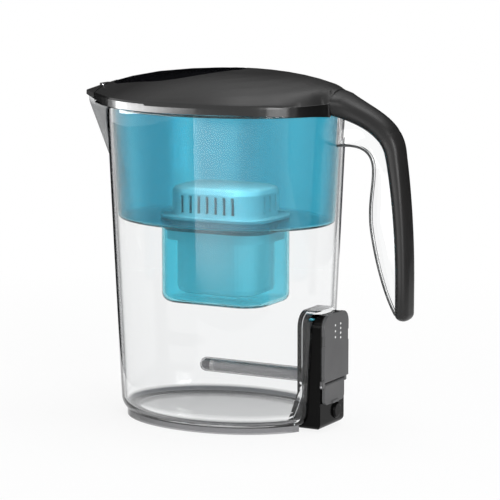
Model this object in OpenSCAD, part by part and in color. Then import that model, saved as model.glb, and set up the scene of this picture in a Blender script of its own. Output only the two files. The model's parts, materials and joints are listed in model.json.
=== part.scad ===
// Water filter pitcher with a flip lid, a hopper for the filter cartridge, and an
// ultraviolet lamp unit let into the back of the jug.
// Frame: origin at the centre of the foot on the table, +Z up, spout towards -X,
// handle towards +X. Millimetres.

/* [Jug] */
// Height of the rim above the table
jug_h = 238; // [225:1:250]
// Outer length of the oval at the rim
jug_len = 190; // [184:1:196]
// Outer width of the oval at the rim
jug_wid = 144; // [138:1:150]
// Outer length of the oval at the table
jug_base_len = 168; // [160:1:172]
// Thickness of the jug's wall
jug_wall = 2.6; // [2:0.1:3.2]
// Thickness of the jug's floor
jug_floor = 3.5; // [2.5:0.1:5]
// Radius of the outer corner between wall and floor
base_round = 12; // [9:0.5:15]

/* [Spout] */
// Reach of the spout's tip from the jug's axis
spout_reach = 121; // [114:0.5:126]
// Radius of the spout's tip
spout_tip_r = 5; // [4:0.5:7]
// How far the spout runs down the wall
spout_drop = 68; // [50:1:90]
// Rise of the spout's lip over the rim at its tip
spout_rise = 3.5; // [2:0.1:3.5]

/* [Foot ring] */
// Half length of the ring's inner edge
foot_in = 71; // [66:0.5:74]
// Half length of the ring's outer edge
foot_out = 80; // [78:0.5:81]
// Height of the ring
foot_h = 5; // [4:0.5:7]
// Depth of the groove that holds the ring
foot_groove = 1.5; // [1:0.1:2]

/* [Handle] */
// Thickness of the clear rib that carries the grip
rib_t = 6.5; // [5:0.1:8]
// Width of the grip cover at mid height
grip_w = 20; // [17:0.5:24]
// Thickness of the grip cover at mid height
grip_t = 11; // [9:0.5:13]
// Width of the grip cover where it meets the lid
grip_top_w = 26; // [24:0.5:28]
// Thickness of the grip cover where it meets the lid
grip_top_t = 19; // [16:0.5:20]

/* [Hopper] */
// Gap between the hopper's wall and the jug's wall at the rim
hopper_gap = 1.2; // [0.8:0.1:2]
// Half length of the hopper's outer wall at its floor
hopper_low = 86.6; // [83:0.1:87]
// Height of the underside of the hopper's floor
hopper_floor_z = 152; // [145:1:160]
// Thickness of the hopper's wall
hopper_wall = 2; // [1.6:0.1:2.6]
// Thickness of the flange that rests on the jug's rim
flange_t = 2.2; // [1.8:0.1:3]
// Length, width and corner radius of the cup that holds the cartridge
cup_len = 91; // [88:0.5:96]
cup_wid = 68; // [66:0.5:74]
cup_r = 22; // [18:0.5:24]
// Height of the underside of the cup
cup_z = 90; // [84:1:96]

/* [Cartridge] */
// Length, width and corner radius of the cartridge's body
media_len = 68; // [60:0.5:74]
media_wid = 51; // [46:0.5:55]
media_r = 16; // [12:0.5:18]
// Length, width and corner radius of the slotted cap
cap_len = 76; // [72:0.5:80]
cap_wid = 58; // [54:0.5:60]
cap_r = 20; // [16:0.5:22]
// Height of the slotted cap above the hopper's floor
cap_h = 24; // [18:0.5:30]
// Number of slots in each long side of the cap
cap_slots = 7; // [5:1:8]

/* [Lid] */
// Height of the lid's crown above the rim
lid_h = 28; // [24:0.5:32]
// Height of the lid's edge above the rim
lid_edge = 7; // [6:0.5:9]
// Height of the lid's tail above the rim, where the handle starts
tail_h = 16; // [13:0.5:16.5]
// Overhang of the lid past the jug's rim
lid_over = 3; // [2:0.1:4]
// Thickness of the lid's shell
lid_wall = 2.2; // [1.8:0.1:2.6]
// Depth of the skirt that fits inside the hopper
skirt_h = 5; // [4:0.5:12]
// How far the lid's edge wraps the jug's rim beside the handle
band_wrap = 3; // [1:0.5:3.5]
// Radius of the flip flap's wide rear end and of its narrow front end
flap_r = 41; // [38:0.5:43]
flap_nose_r = 17; // [13:0.5:18]
// Centres of those two arcs ahead of the lid's middle
flap_c = 28; // [26:0.5:32]
flap_nose_c = 78; // [75:0.5:79]

/* [Lamp unit] */
// Height, width and corner radius of the unit's housing
pod_h = 88; // [84:0.5:92]
pod_w = 40; // [38:0.5:42]
pod_r = 9; // [6:0.5:12]
// Distance of the housing's inner face from the jug's axis
pod_in = 75; // [74:0.5:77]
// Distance of the housing's toe from the jug's axis, at the floor
pod_toe = 67; // [66:0.5:70]
// Distance of the cover's outer face from the jug's axis
pod_out = 94; // [93:0.5:95]
// Height of the lamp's axis above the table
lamp_z = 39; // [37:0.5:40]
// Outer radius of the lamp's quartz sleeve
sleeve_r = 5.5; // [4.5:0.1:6]
// Reach of the lamp past the jug's axis
lamp_reach = 22; // [10:1:30]
// Travel of the power button
button_travel = 1.2; // [0.8:0.1:1.4]

/* [Hidden] */
$fn = 64;

fit = 0.3;          // clearance between pieces that seat or slide
pin_play = 0.05;    // radial clearance of a hinge pin
eps = 0.01;
far = 400;

// ---- plan shapes -------------------------------------------------------------------

plan = jug_wid / jug_len;                     // width over length of every oval
function wall_r(z) = (jug_base_len + (jug_len - jug_base_len) * z / jug_h) / 2;
rim_r = wall_r(jug_h);
module oval() { scale([1, plan, 1]) children(); }

function arc_points(cx, cz, r, a0, a1, n = 10) =
    [for (i = [0:n]) let (a = a0 + (a1 - a0) * i / n) [cx + r * cos(a), cz + r * sin(a)]];
function bezier(a, b, c, d, n, from = 0) =
    [for (i = [from:n]) let (t = i / n, u = 1 - t)
        u * u * u * a + 3 * u * u * t * b + 3 * u * t * t * c + t * t * t * d];

// A rectangle with round corners, as true arcs.
module rounded(l, w, r) {
    square([l - 2 * r, w], center = true);
    square([l, w - 2 * r], center = true);
    for (x = [-1, 1], y = [-1, 1])
        translate([x * (l / 2 - r), y * (w / 2 - r)]) circle(r);
}
module slab(l, w, r, z0, z1) {
    translate([0, 0, z0]) linear_extrude(z1 - z0) rounded(l, w, r);
}
// A slab whose lower edge is rounded over.
module soft_slab(l, w, r, z0, z1, edge) {
    hull() {
        slab(l, w, r, z0 + edge, z1, $fn = 32);
        slab(l - 0.6 * edge, w - 0.6 * edge, r - 0.3 * edge, z0 + 0.3 * edge, z1, $fn = 32);
        slab(l - 2 * edge, w - 2 * edge, r - edge, z0, z1, $fn = 32);
    }
}
module along_x(x0, x1) {
    translate([x0, 0, 0]) rotate([90, 0, 90]) linear_extrude(x1 - x0) children();
}
module along_y(w) {
    rotate([90, 0, 0]) translate([0, 0, -w / 2]) linear_extrude(w) children();
}
module pin_y(x, z, r, w, y = 0) {
    translate([x, y, z]) rotate([90, 0, 0]) cylinder(r = r, h = w, center = true);
}
module pin_x(x0, x1, r, y = 0, z = 0) {
    translate([x0, y, z]) rotate([0, 90, 0]) cylinder(r = r, h = x1 - x0);
}

// ---- meshes from rows of points ----------------------------------------------------

function quads(n, m, closed) =
    [for (i = [0:n - (closed ? 1 : 2)], j = [0:m - 1])
        let (a = i * m + j, b = i * m + (j + 1) % m,
             c = ((i + 1) % n) * m + (j + 1) % m, d = ((i + 1) % n) * m + j)
        each [[a, b, c], [a, c, d]]];
// A band that closes on itself: rows[i] is its section at step i.
module band(rows) {
    polyhedron(points = [for (r = rows) each r], faces = quads(len(rows), len(rows[0]), true));
}
// A solid from section to section, each end closed towards the middle of its section.
function middle(r) = [for (r2 = r) 1] * r / len(r);
module loft(rows) {
    n = len(rows);
    m = len(rows[0]);
    polyhedron(points = concat([for (r = rows) each r], [middle(rows[0]), middle(rows[n - 1])]),
        faces = concat(quads(n, m, false),
            [for (j = [0:m - 1]) [(j + 1) % m, j, n * m]],
            [for (j = [0:m - 1]) [(n - 1) * m + j, (n - 1) * m + (j + 1) % m, n * m + 1]]));
}

// ---- jug ---------------------------------------------------------------------------

under_z = foot_h - foot_groove;               // underside of the jug's floor
floor_z = under_z + jug_floor;                // top of the jug's floor
corner_x = wall_r(base_round) - base_round;   // centre of the outer corner
corner_a = acos(min(1, (foot_out - corner_x) / base_round));
corner_z = foot_h + base_round * sin(corner_a);
inner_round = base_round - 4;

module jug_outside() {
    oval() rotate_extrude($fn = 128) polygon(concat(
        [[0, under_z], [foot_in, under_z], [foot_in, foot_h], [foot_out, foot_h]],
        arc_points(corner_x, corner_z, base_round, -corner_a, 0),
        [[rim_r, jug_h], [0, jug_h]]));
}
module jug_inside() {
    inner_x = wall_r(floor_z + inner_round) - jug_wall - inner_round;
    oval() rotate_extrude($fn = 128) polygon(concat(
        [[0, floor_z]],
        arc_points(inner_x, floor_z + inner_round, inner_round, -90, 0),
        [[rim_r - jug_wall, jug_h], [rim_r - jug_wall, jug_h + 20], [0, jug_h + 20]]));
}

// The spout: the oval's two tangents, drawn out to the tip and down to the wall.
touch_x = rim_r * rim_r / spout_reach;
touch_y = rim_r * plan * sqrt(1 - pow(rim_r / spout_reach, 2));
module spout_form(inset) {
    low_z = jug_h - spout_drop + 3 * inset;
    hull() {
        translate([spout_tip_r - spout_reach, 0, jug_h + spout_rise - 1])
            cylinder(r = spout_tip_r - inset, h = 20, $fn = 32);
        for (s = [-1, 1])
            translate([-touch_x, s * (touch_y - 1.6 - 1.25 * inset), jug_h - 1])
                cylinder(r = 0.8, h = 20 + spout_rise, $fn = 32);
        translate([1.3 + inset - wall_r(low_z), 0, low_z])
            cylinder(r = 0.8, h = 1, $fn = 32);
    }
}
// Everything below the rim, which rises from the hopper's edge towards the spout's tip.
lip_start = touch_x + 11;
module below_lip() {
    along_y(far) polygon([[-spout_reach - 1, jug_h + spout_rise], [-lip_start, jug_h - 0.05],
        [0, jug_h - 0.05], [0, 0], [-spout_reach - 1, 0]]);
}

// The handle's centre line, from the lid's tail round to the free lower end.
grip_start = rim_r + 2;
grip_mid_z = jug_h + tail_h - grip_top_t / 2;
grip_bend = [139.5, jug_h - 27];
grip_end = [149, jug_h - 146];
grip_path = concat(
    bezier([grip_start, grip_mid_z], [112, grip_mid_z - 6.5], [135, jug_h - 9], grip_bend, 10),
    bezier(grip_bend, [142.5, jug_h - 41], [149, jug_h - 78], [149, jug_h - 128], 8, 1),
    [grip_end]);
function path_dir(p, i) = i == 0 ? [1, 0] :
    let (d = p[min(len(p) - 1, i + 1)] - p[i - 1]) d / norm(d);
function path_offset(p, k, from, to) =
    [for (i = [from:to]) let (d = path_dir(p, i)) p[i] + k * [-d[1], d[0]]];

rib_cover = 1;        // the rib's edge lies this far inside the grip's centre line
rib_first = 3;        // the point of the path where the rib meets that line
rib_last = len(grip_path) - 2;
rib_root_z = jug_h - 26;
rib_inner = concat(
    bezier([wall_r(rib_root_z) - 2, rib_root_z], [104, jug_h - 25], [121, jug_h - 23],
        [122.8, jug_h - 39], 7),
    bezier([122.8, jug_h - 39], [124, jug_h - 53], [118, jug_h - 68], [122.4, jug_h - 90], 6, 1),
    bezier([122.4, jug_h - 90], [125.5, jug_h - 107], [132, jug_h - 132], [142, jug_h - 148], 6, 1));
rib_end = rib_inner[len(rib_inner) - 1];
module handle_rib() {
    along_y(rib_t) polygon(concat(
        [[rim_r - jug_wall, jug_h - 2], [grip_start + 1, jug_h - 1.5]],
        path_offset(grip_path, -rib_cover, rib_first, rib_last),
        [for (i = [len(rib_inner) - 1:-1:0]) rib_inner[i]]));
}

// ---- lamp unit's outline, shared by the jug's recess and by the housing ------------

pod_knee = 27;        // height at which the toe starts
pod_foot_z = 1.5;     // gap under the housing
module pod_back(g) {
    translate([-pod_w / 2 - g, -1 - g]) square([pod_w + 2 * g, pod_h - pod_r + 1 + g]);
    translate([pod_r - pod_w / 2, -1 - g]) square([pod_w - 2 * pod_r, pod_h + 1 + 2 * g]);
    for (s = [-1, 1]) translate([s * (pod_w / 2 - pod_r), pod_h - pod_r]) circle(pod_r + g);
}
module pod_block(g, back, low) {
    intersection() {
        along_y(2 * pod_w) polygon([[pod_toe - g, low], [back, low], [back, far], [pod_in - g, far],
            [pod_in - g, pod_knee + g], [pod_toe - g, 6]]);
        along_x(0, far) pod_back(g);
    }
}
gland_hole_r = sleeve_r + 2;

module jug_body() {
    color([0.93, 0.95, 0.96, 0.35])
    difference() {
        union() {
            jug_outside();
            intersection() {
                spout_form(0);
                below_lip();
            }
            handle_rib();
        }
        difference() {
            jug_inside();
            pod_block(jug_wall, far, -1);
        }
        spout_form(jug_wall);
        pod_block(0, far, -eps);
        pin_x(pod_in - 10, pod_in + 1, gland_hole_r, 0, lamp_z);
    }
}

module foot_ring() {
    color([0.2, 0.2, 0.21])
    difference() {
        oval() rotate_extrude($fn = 128)
            translate([foot_in + fit, -1]) square([foot_out - foot_in - fit, foot_h + 1]);
        pod_block(jug_wall, far, -2);
        translate([-far / 2, -far / 2, -2]) cube([far, far, 2]);
    }
}

// ---- handle ------------------------------------------------------------------------

grip_n = 24;
function grip_share(i) = max(0, 1 - i / 11);
function grip_size(i) = let (k = pow(grip_share(i), 1.3))
    [grip_w + (grip_top_w - grip_w) * k, grip_t + (grip_top_t - grip_t) * k];
function squircle(a, p) = sign(a) * pow(abs(a), p);
function grip_section(c, d, w, t) =
    [for (k = [0:grip_n - 1]) let (a = 360 * k / grip_n, u = squircle(cos(a), 0.8) * t / 2)
        [c[0] - d[1] * u, squircle(sin(a), 0.8) * w / 2, c[1] + d[0] * u]];
module handle_cover() {
    n = len(grip_path);
    tip = grip_path[n - 1];
    down = path_dir(grip_path, n - 1);
    rows = concat(
        [for (i = [0:n - 1]) let (s = grip_size(i))
            grip_section(grip_path[i], path_dir(grip_path, i), s[0], s[1])],
        [for (a = [25:20:85])
            grip_section(tip + down * sin(a) * grip_t / 2, down, grip_w * cos(a), grip_t * cos(a))]);
    color([0.1, 0.1, 0.1])
    difference() {
        loft(rows);
        along_y(rib_t + 2 * fit) polygon(concat(
            [[grip_start - 1, jug_h - 1.5 + fit]],
            [[grip_start + 1 + fit, jug_h - 1.5 + fit]],
            path_offset(grip_path, -rib_cover + fit, rib_first, rib_last),
            [rib_end + [2 * fit, -fit], [grip_start - 1, rib_end[1] - fit]]));
    }
}

// ---- hopper ------------------------------------------------------------------------

hopper_top_r = rim_r - jug_wall - hopper_gap;
hopper_edge = 4;      // radius of the corner at the hopper's floor
flange_z = jug_h + flange_t;
flange_over = 0.5;    // the flange stops this far inside the rim's outer edge
deck_z = hopper_floor_z + hopper_wall;        // top of the hopper's floor
cup_in_len = cup_len - 2 * hopper_wall;
cup_in_wid = cup_wid - 2 * hopper_wall;
cup_in_r = cup_r - hopper_wall;

function hopper_corner(r) =
    arc_points(hopper_low - hopper_edge, hopper_floor_z + hopper_edge, r, -90, 0, 6);
module hopper() {
    color([0.2, 0.62, 0.75, 0.7])
    difference() {
        union() {
            oval() rotate_extrude($fn = 128) polygon(concat(
                [[0, hopper_floor_z]],
                hopper_corner(hopper_edge),
                [[hopper_top_r, jug_h], [rim_r - flange_over, jug_h],
                 [rim_r - flange_over, flange_z], [0, flange_z]]));
            soft_slab(cup_len, cup_wid, cup_r, cup_z, deck_z, 6);
        }
        oval() rotate_extrude($fn = 128) polygon(concat(
            [[0, deck_z]],
            hopper_corner(hopper_edge - hopper_wall),
            [[hopper_top_r - hopper_wall, jug_h], [hopper_top_r - hopper_wall, far], [0, far]]));
        soft_slab(cup_in_len, cup_in_wid, cup_in_r, cup_z + hopper_wall, deck_z + 5, 5);
        for (x = [-2:2], y = [-1, 0, 1])
            translate([10 * x, 10 * y, cup_z - 1]) cylinder(r = 2.2, h = 5);
    }
}

// ---- filter cartridge --------------------------------------------------------------

shell_t = 1.6;
media_z = cup_z + hopper_wall + 5;            // underside of the cartridge's body
neck_z = deck_z - 16;                         // where the body widens to its neck
neck_len = cup_in_len - 4;
neck_wid = cup_in_wid - 4;
neck_r = cup_in_r - 2;
lip_t = 2;
cap_z = deck_z + fit + lip_t;                 // underside of the slotted cap
cap_top = deck_z + cap_h;
seal_z = deck_z - 9;
seal_h = 3;

module cartridge_shell() {
    color([0.9, 0.93, 0.94])
    difference() {
        union() {
            soft_slab(media_len, media_wid, media_r, media_z, neck_z + 2, 5);
            slab(neck_len, neck_wid, neck_r, neck_z, deck_z + fit);
            slab(cup_in_len + 5, cup_in_wid + 5, cup_in_r + 2.5, deck_z + fit, cap_z);
        }
        slab(media_len - 2 * shell_t, media_wid - 2 * shell_t, media_r - shell_t,
            media_z + shell_t, cap_z + 1);
        slab(neck_len - 2 * shell_t, neck_wid - 2 * shell_t, neck_r - shell_t,
            neck_z + shell_t, deck_z - 3);
        difference() {
            slab(neck_len + 1, neck_wid + 1, neck_r + 0.5, seal_z, seal_z + seal_h);
            slab(neck_len - 1, neck_wid - 1, neck_r - 0.5, seal_z - 1, seal_z + seal_h + 1);
        }
        for (x = [-2:2], y = [-1, 0, 1])
            translate([10 * x, 10 * y, media_z - 1]) cylinder(r = 2, h = 4);
    }
}

module cartridge_seal() {
    color([0.75, 0.8, 0.82])
    difference() {
        slab(cup_in_len - 2 * fit, cup_in_wid - 2 * fit, cup_in_r - fit,
            seal_z + 0.2, seal_z + seal_h - 0.2);
        slab(neck_len - 0.6, neck_wid - 0.6, neck_r - 0.3, seal_z - 1, seal_z + seal_h + 1);
    }
}

module filter_media() {
    color([0.25, 0.25, 0.26])
    slab(media_len - 2 * shell_t - fit, media_wid - 2 * shell_t - fit, media_r - shell_t,
        media_z + shell_t + 1.6, deck_z - 2);
}

module outlet_screen() {
    color([0.82, 0.84, 0.85])
    slab(media_len - 2 * shell_t - fit, media_wid - 2 * shell_t - fit, media_r - shell_t,
        media_z + shell_t + fit, media_z + shell_t + 1.3);
}

module cartridge_cap() {
    slot_w = 2.6;
    pitch = (cap_len - 2 * cap_r + 14) / cap_slots;
    color([0.93, 0.95, 0.96])
    difference() {
        translate([0, 0, cap_z + cap_top]) mirror([0, 0, 1])
            soft_slab(cap_len, cap_wid, cap_r, cap_z, cap_top, 4);
        slab(cap_len - 4, cap_wid - 4, cap_r - 2, cap_z - 1, cap_top - 2);
        for (i = [0:cap_slots - 1])
            translate([(i - (cap_slots - 1) / 2) * pitch - slot_w / 2, -cap_wid, cap_z + 3])
                cube([slot_w, 2 * cap_wid, cap_h - 11]);
        for (y = [-1, 0, 1])
            translate([-cap_len, 9 * y - slot_w / 2, cap_z + 3]) cube([2 * cap_len, slot_w, cap_h - 11]);
    }
}

// ---- lid ---------------------------------------------------------------------------

lid_a = rim_r + lid_over;                     // half length of the lid's oval
lid_b = lid_a * plan;
lid_tip = spout_reach + 1;                    // reach of the lid's nose
lid_z = flange_z + fit;                       // underside of the lid's edge
tail_x = grip_start - fit - 0.1;              // flat end of the lid's tail
nose_x = 104;                                 // flat end of the nose, where the pour flap starts
nose_half = atan2(lid_b * sqrt(1 - pow(lid_a / lid_tip, 2)), lid_tip - lid_a * lid_a / lid_tip);
nose_apex = lid_tip + spout_tip_r * (1 / sin(nose_half) - 1);
nose_xt = lid_a * lid_a / nose_apex;
nose_yt = lid_b * sqrt(1 - pow(lid_a / nose_apex, 2));
nose_c = nose_apex - spout_tip_r / sin(nose_half);

function oval_r(a) = lid_a * lid_b / sqrt(pow(lid_b * cos(a), 2) + pow(lid_a * sin(a), 2));
function nose_r(p) = p < atan2(spout_tip_r * cos(nose_half), nose_c + spout_tip_r * sin(nose_half)) ?
    nose_c * cos(p) + sqrt(pow(spout_tip_r, 2) - pow(nose_c * sin(p), 2)) :
    nose_apex / (cos(p) + (nose_apex - nose_xt) / nose_yt * sin(p));
// Distance from the middle to the lid's outline, in the direction a.
function lid_r(a) = let (p = abs(180 - abs(a)))
    p < atan2(nose_yt, nose_xt) ? max(oval_r(a), nose_r(p)) : oval_r(a);
function edge_z(a) = jug_h + lid_edge + (tail_h - lid_edge) * exp(-pow(a / 24, 2));
// Height of the lid's upper surface at a point of its plan.
function top_z(x, y) = let (a = atan2(y, x), s = min(1, norm([x, y]) / lid_r(a)), e = edge_z(a))
    e + (jug_h + lid_h - e) * (1 - pow(s, 2.65 + 0.5 * cos(a)));

// The flip flap's outline is two arcs and their tangents, cut straight at the hinge.
flap_nx = (flap_nose_r - flap_r) / (flap_nose_c - flap_c);
flap_ny = sqrt(1 - flap_nx * flap_nx);
function ray_arc(a, c, r) = -c * cos(a) + sqrt(r * r - pow(c * sin(a), 2));
function flap_out(a, g, cut) = let (
        r1 = ray_arc(a, flap_c, flap_r + g),
        line = (flap_r + g - flap_c * flap_nx) / (flap_nx * cos(a) + flap_ny * abs(sin(a))),
        r = (r1 * cos(a) + flap_c) / (flap_r + g) >= flap_nx ? r1 :
            line * cos(a) >= -flap_nose_c + (flap_nose_r + g) * flap_nx ? line :
            ray_arc(a, flap_nose_c, flap_nose_r + g))
    cos(a) > 0 ? min(r, cut / cos(a)) : r;

hinge_x = 12.4;                               // axis of the flip flap's hinge
hinge_r = 1.9;
hinge_z = top_z(hinge_x, 0) - hinge_r;
hinge_w = 16;                                 // width of the flap's knuckle
ear_w = 3.6;
flap_pin_r = 0.9;
flap_cut = hinge_x - 2.3;                       // rear edge of the flap's plate
hole_cut = hinge_x + 2.4;                     // rear edge of the lid's opening
ledge = 4;                                    // width of the ledge under the flap

// Directions at which the lid's sections stand: both flat ends get exact corners.
tail_a = atan2(lid_b * sqrt(1 - pow(tail_x / lid_a, 2)), tail_x);
nose_a = let (w = (nose_apex - nose_x) * nose_yt / (nose_apex - nose_xt)) 180 - atan2(w, nose_x);
lid_steps = 34;
lid_angles = concat([for (i = [-2:2]) tail_a * i / 2],
    [for (i = [1:lid_steps]) tail_a + (nose_a - tail_a) * i / lid_steps],
    [for (i = [1:3]) nose_a + (360 - 2 * nose_a) * i / 4],
    [for (i = [0:lid_steps - 1]) 360 - nose_a + (nose_a - tail_a) * i / lid_steps]);
function turn(a) = a > 180 ? a - 360 : a;
function lid_cut_r(a) = min(lid_r(a), abs(a) <= tail_a + eps ? tail_x / cos(a) : far,
    abs(a) >= nose_a - eps ? -nose_x / cos(a) : far);
// The band round the lid's edge hides the hopper's flange, and wraps the rim beside the handle.
band_t = 2;
function band_low(a, r) = abs(a) < 0.6 * tail_a ? lid_z - 0.01 :
    lip_z(-r * cos(a)) - band_wrap * exp(-pow(a / 32, 2));
function on_lid(a, r, drop) = let (x = r * cos(a), y = r * sin(a)) [x, y, top_z(x, y) - drop];
function lid_section(a) = let (
        r0 = flap_out(a, fit, hole_cut), r1 = lid_cut_r(a), rim = max(0.89 * r1, r0 + 3),
        hole = min(r0 - ledge * min(1, r0 / 30), oval_r(a) * (skirt_r - skirt_t) / lid_a),
        step = (r1 - r0) / 7, low = band_low(a, r1), in = (r1 - band_t) / r1)
    concat(
        [[r1 * cos(a), r1 * sin(a), low]],
        [on_lid(a, r1, 1.2), on_lid(a, r1 - 0.8, 0.25)],
        [for (i = [6:-1:1]) on_lid(a, r0 + i * step, 0)],
        [on_lid(a, r0, 0), on_lid(a, r0, lid_wall + fit)],
        [on_lid(a, hole, lid_wall + fit), on_lid(a, hole, lid_wall + 2)],
        [on_lid(a, r0 + 2, lid_wall + 2), on_lid(a, r0 + 2.4, lid_wall)],
        [for (i = [1:4]) on_lid(a, r0 + 2.4 + (rim - r0 - 2.4) * i / 4, lid_wall)],
        [[rim * cos(a), rim * sin(a), lid_z]],
        [[in * r1 * cos(a), in * r1 * sin(a), lid_z], [in * r1 * cos(a), in * r1 * sin(a), low]]);

skirt_r = hopper_top_r - hopper_wall - 2 * fit;
skirt_t = 1.6;
function skirt_point(a, r, z) = [r * cos(a), plan * r * sin(a), z];
function skirt_section(a) = let (o = skirt_r, i = skirt_r - skirt_t)
    [skirt_point(a, o, lid_z - skirt_h), skirt_point(a, o, top_z(o * cos(a), plan * o * sin(a)) - 3),
     skirt_point(a, i, top_z(i * cos(a), plan * i * sin(a)) - 3), skirt_point(a, i, lid_z - skirt_h)];

pour_pin_r = 0.6;
pour_hinge_r = 1.3;
pour_x = nose_x - pour_hinge_r - 0.4;         // axis of the pour flap's hinge
pour_z = top_z(-pour_x, 0) - pour_hinge_r;
pour_w = 12;                                  // width of the pour flap's knuckle

module lid_shell() {
    color([0.14, 0.14, 0.14])
    difference() {
        union() {
            band([for (a = lid_angles) lid_section(turn(a))]);
            band([for (i = [0:63]) skirt_section(turn(360 * i / 64))]);
            for (s = [-1, 1]) {
                pin_y(hinge_x, hinge_z, hinge_r, ear_w, s * (hinge_w + ear_w + 2 * fit) / 2);
                translate([hinge_x, s * (hinge_w + ear_w + 2 * fit) / 2, hinge_z - 0.4])
                    translate([0, -ear_w / 2, -1.4]) cube([4, ear_w, 3]);
            }
        }
        translate([3, -(hinge_w / 2 + fit), hinge_z - 8]) cube([hole_cut - 3, hinge_w + 2 * fit, 20]);
        pin_y(hinge_x, hinge_z, flap_pin_r + pin_play, hinge_w + 2 * ear_w + 2);
        translate([-nose_x - 1, -(pour_w / 2 + fit), pour_z - 3])
            cube([nose_x + 1 - pour_x + pour_hinge_r + 0.3, pour_w + 2 * fit, 10]);
        pin_y(-pour_x, pour_z, pour_pin_r + pin_play, pour_w + 8);
    }
}

// The flip flap: a plate that follows the lid's own surface.
flap_angles = [for (a = lid_angles) turn(a)];    // as the lid's, so the gap round the flap is even
flap_relief = 0.6;    // the flap's rear corners stand back, so that they clear the lid as it opens
function flap_edge(a) =
    flap_out(a, -flap_relief * max(0, min(1, (88 - abs(a)) / 20)), flap_cut);
module fill_flap() {
    rings = [0.3, 0.6, 0.85, 1];
    top = [for (s = rings)
        [for (a = flap_angles) on_lid(a, s * flap_edge(a), s == 1 ? 0.25 : 0)]];
    low = [for (k = [3, 2, 1])
        [for (a = flap_angles) on_lid(a, rings[k] * flap_edge(a), lid_wall)]];
    color([0.04, 0.04, 0.045])
    difference() {
        union() {
            loft(concat(top, low));
            pin_y(hinge_x, hinge_z, hinge_r, hinge_w);
            translate([flap_cut - 3, -hinge_w / 2, hinge_z - 1.4])
                cube([hinge_x - flap_cut + 3, hinge_w, 2.6]);
        }
        pin_y(hinge_x, hinge_z, flap_pin_r + pin_play, hinge_w + 2);
    }
}

module flap_hinge_pin() {
    color([0.7, 0.7, 0.72]) pin_y(hinge_x, hinge_z, flap_pin_r, hinge_w + 2 * ear_w);
}

// The pour flap: the last part of the nose, which lifts when water runs out.
function nose_w(x) = let (p = atan2(1, 1)) (nose_apex - x) * nose_yt / (nose_apex - nose_xt);
function tip_w(x, g) = let (w = nose_w(x), d = x - nose_c)
    (x > nose_c + spout_tip_r * sin(nose_half) ? sqrt(max(0.04, pow(spout_tip_r, 2) - d * d)) : w) - g;
function lip_z(x) = jug_h + spout_rise * max(0, x - lip_start) / (spout_reach - lip_start) + fit;
function pour_row(x, g, drop, low) = let (w = tip_w(x, g))
    concat([[-x, w, low], [-x, w, top_z(-x, w) - drop - 0.6]],
        [for (k = [2:-1:-2]) [-x, 0.4 * k * w, top_z(-x, 0.4 * k * w) - drop]],
        [[-x, -w, top_z(-x, w) - drop - 0.6], [-x, -w, low]]);
module pour_flap() {
    color([0.06, 0.06, 0.065])
    difference() {
        union() {
            difference() {
                loft([for (x = concat([nose_x + 0.4, nose_x + 4, nose_x + 8, nose_x + 12],
                        [nose_c + 3, nose_c + 4.4, lid_tip - 0.15]))
                    pour_row(x, 0, 0, lip_z(x))]);
                loft([for (x = [nose_x - 1, nose_x + 4, nose_x + 8, nose_x + 10])
                    pour_row(x, 1.8, 2, lip_z(x) - 5)]);
            }
            pin_y(-pour_x, pour_z, pour_hinge_r, pour_w);
            translate([-nose_x - 3, -pour_w / 2, pour_z - 1]) cube([3 + nose_x - pour_x, pour_w, 1.9]);
        }
        pin_y(-pour_x, pour_z, pour_pin_r + pin_play, pour_w + 2);
    }
}
module pour_flap_pin() {
    color([0.7, 0.7, 0.72]) pin_y(-pour_x, pour_z, pour_pin_r, pour_w + 6);
}

// ---- lamp unit ---------------------------------------------------------------------

pod_wall = 1.8;
cover_t = 2.4;
gasket_t = 1.2;
cover_in = pod_out - cover_t;                 // inner face of the cover
pod_back_x = cover_in - gasket_t;             // rear face of the housing
cover_low = 38;                               // lower edge of the cover
open_low = cover_low + 3;                     // lower edge of the housing's open back
door_low = 21;
door_w = 32;
door_y = -3;                                  // the door stands off centre
door_hinge_r = 1.4;
door_pin_r = 0.7;
door_hinge_x = pod_out - door_hinge_r;
door_hinge_z = 35.5;
ear_gap = 0.4;
button_y = 6;
button_z = 13;
button_r = 6;
button_play = 0.3;
button_proud = 2;                             // how far the button stands out of the housing
port_z = 28;
heel_r = 5;
port_l = 9;
port_t = 3.2;
board_x = 84;
board_t = 1.6;
board_w = 25;
board_low = 6;
board_high = 80;
// Left edge, lower edge, width, height and thickness of the parts on the board.
chips = [[-9, 48, 9, 9, 1.2], [3, 52, 5, 8, 2.2], [-8, 62, 4, 3, 1.6]];
battery_z = 66;       // middle of the battery cell
battery_h = 30;
battery_w = 28;
tongue_z = [46, 60];  // lower ends of the cover's tongues
tongue_l = 8;
tongue_t = 1.2;
notch_z = 65;         // lower end of the notches in the cover's sides
notch_l = 8;
notch = 1.6;
light_r = 0.9;
lights = [[-2.3, 79], [-2.3, 74.5], [-2.3, 70], [6.5, 79], [6.5, 75.5], [6.5, 72], [6.5, 68.5]];

module beyond(x, z) { translate([x, -far / 2, z]) cube(far); }
module port_slot(g, x0, x1) {
    translate([0, door_y, port_z]) along_x(x0, x1)
        rounded(port_l + 2 * g, port_t + 2 * g, port_t / 2 + g - eps);
}

// The housing's rear and lower edges are rounded where it stands out of the jug.
module heel() {
    intersection() {
        along_y(far) polygon(concat([[0, pod_foot_z]],
            arc_points(pod_back_x - heel_r, pod_foot_z + heel_r, heel_r, -90, 0, 8),
            [[pod_back_x, far], [0, far]]));
        translate([0, 0, pod_foot_z + pod_h]) along_x(0, far) rounded(pod_w, 2 * pod_h, heel_r);
    }
}

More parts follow.
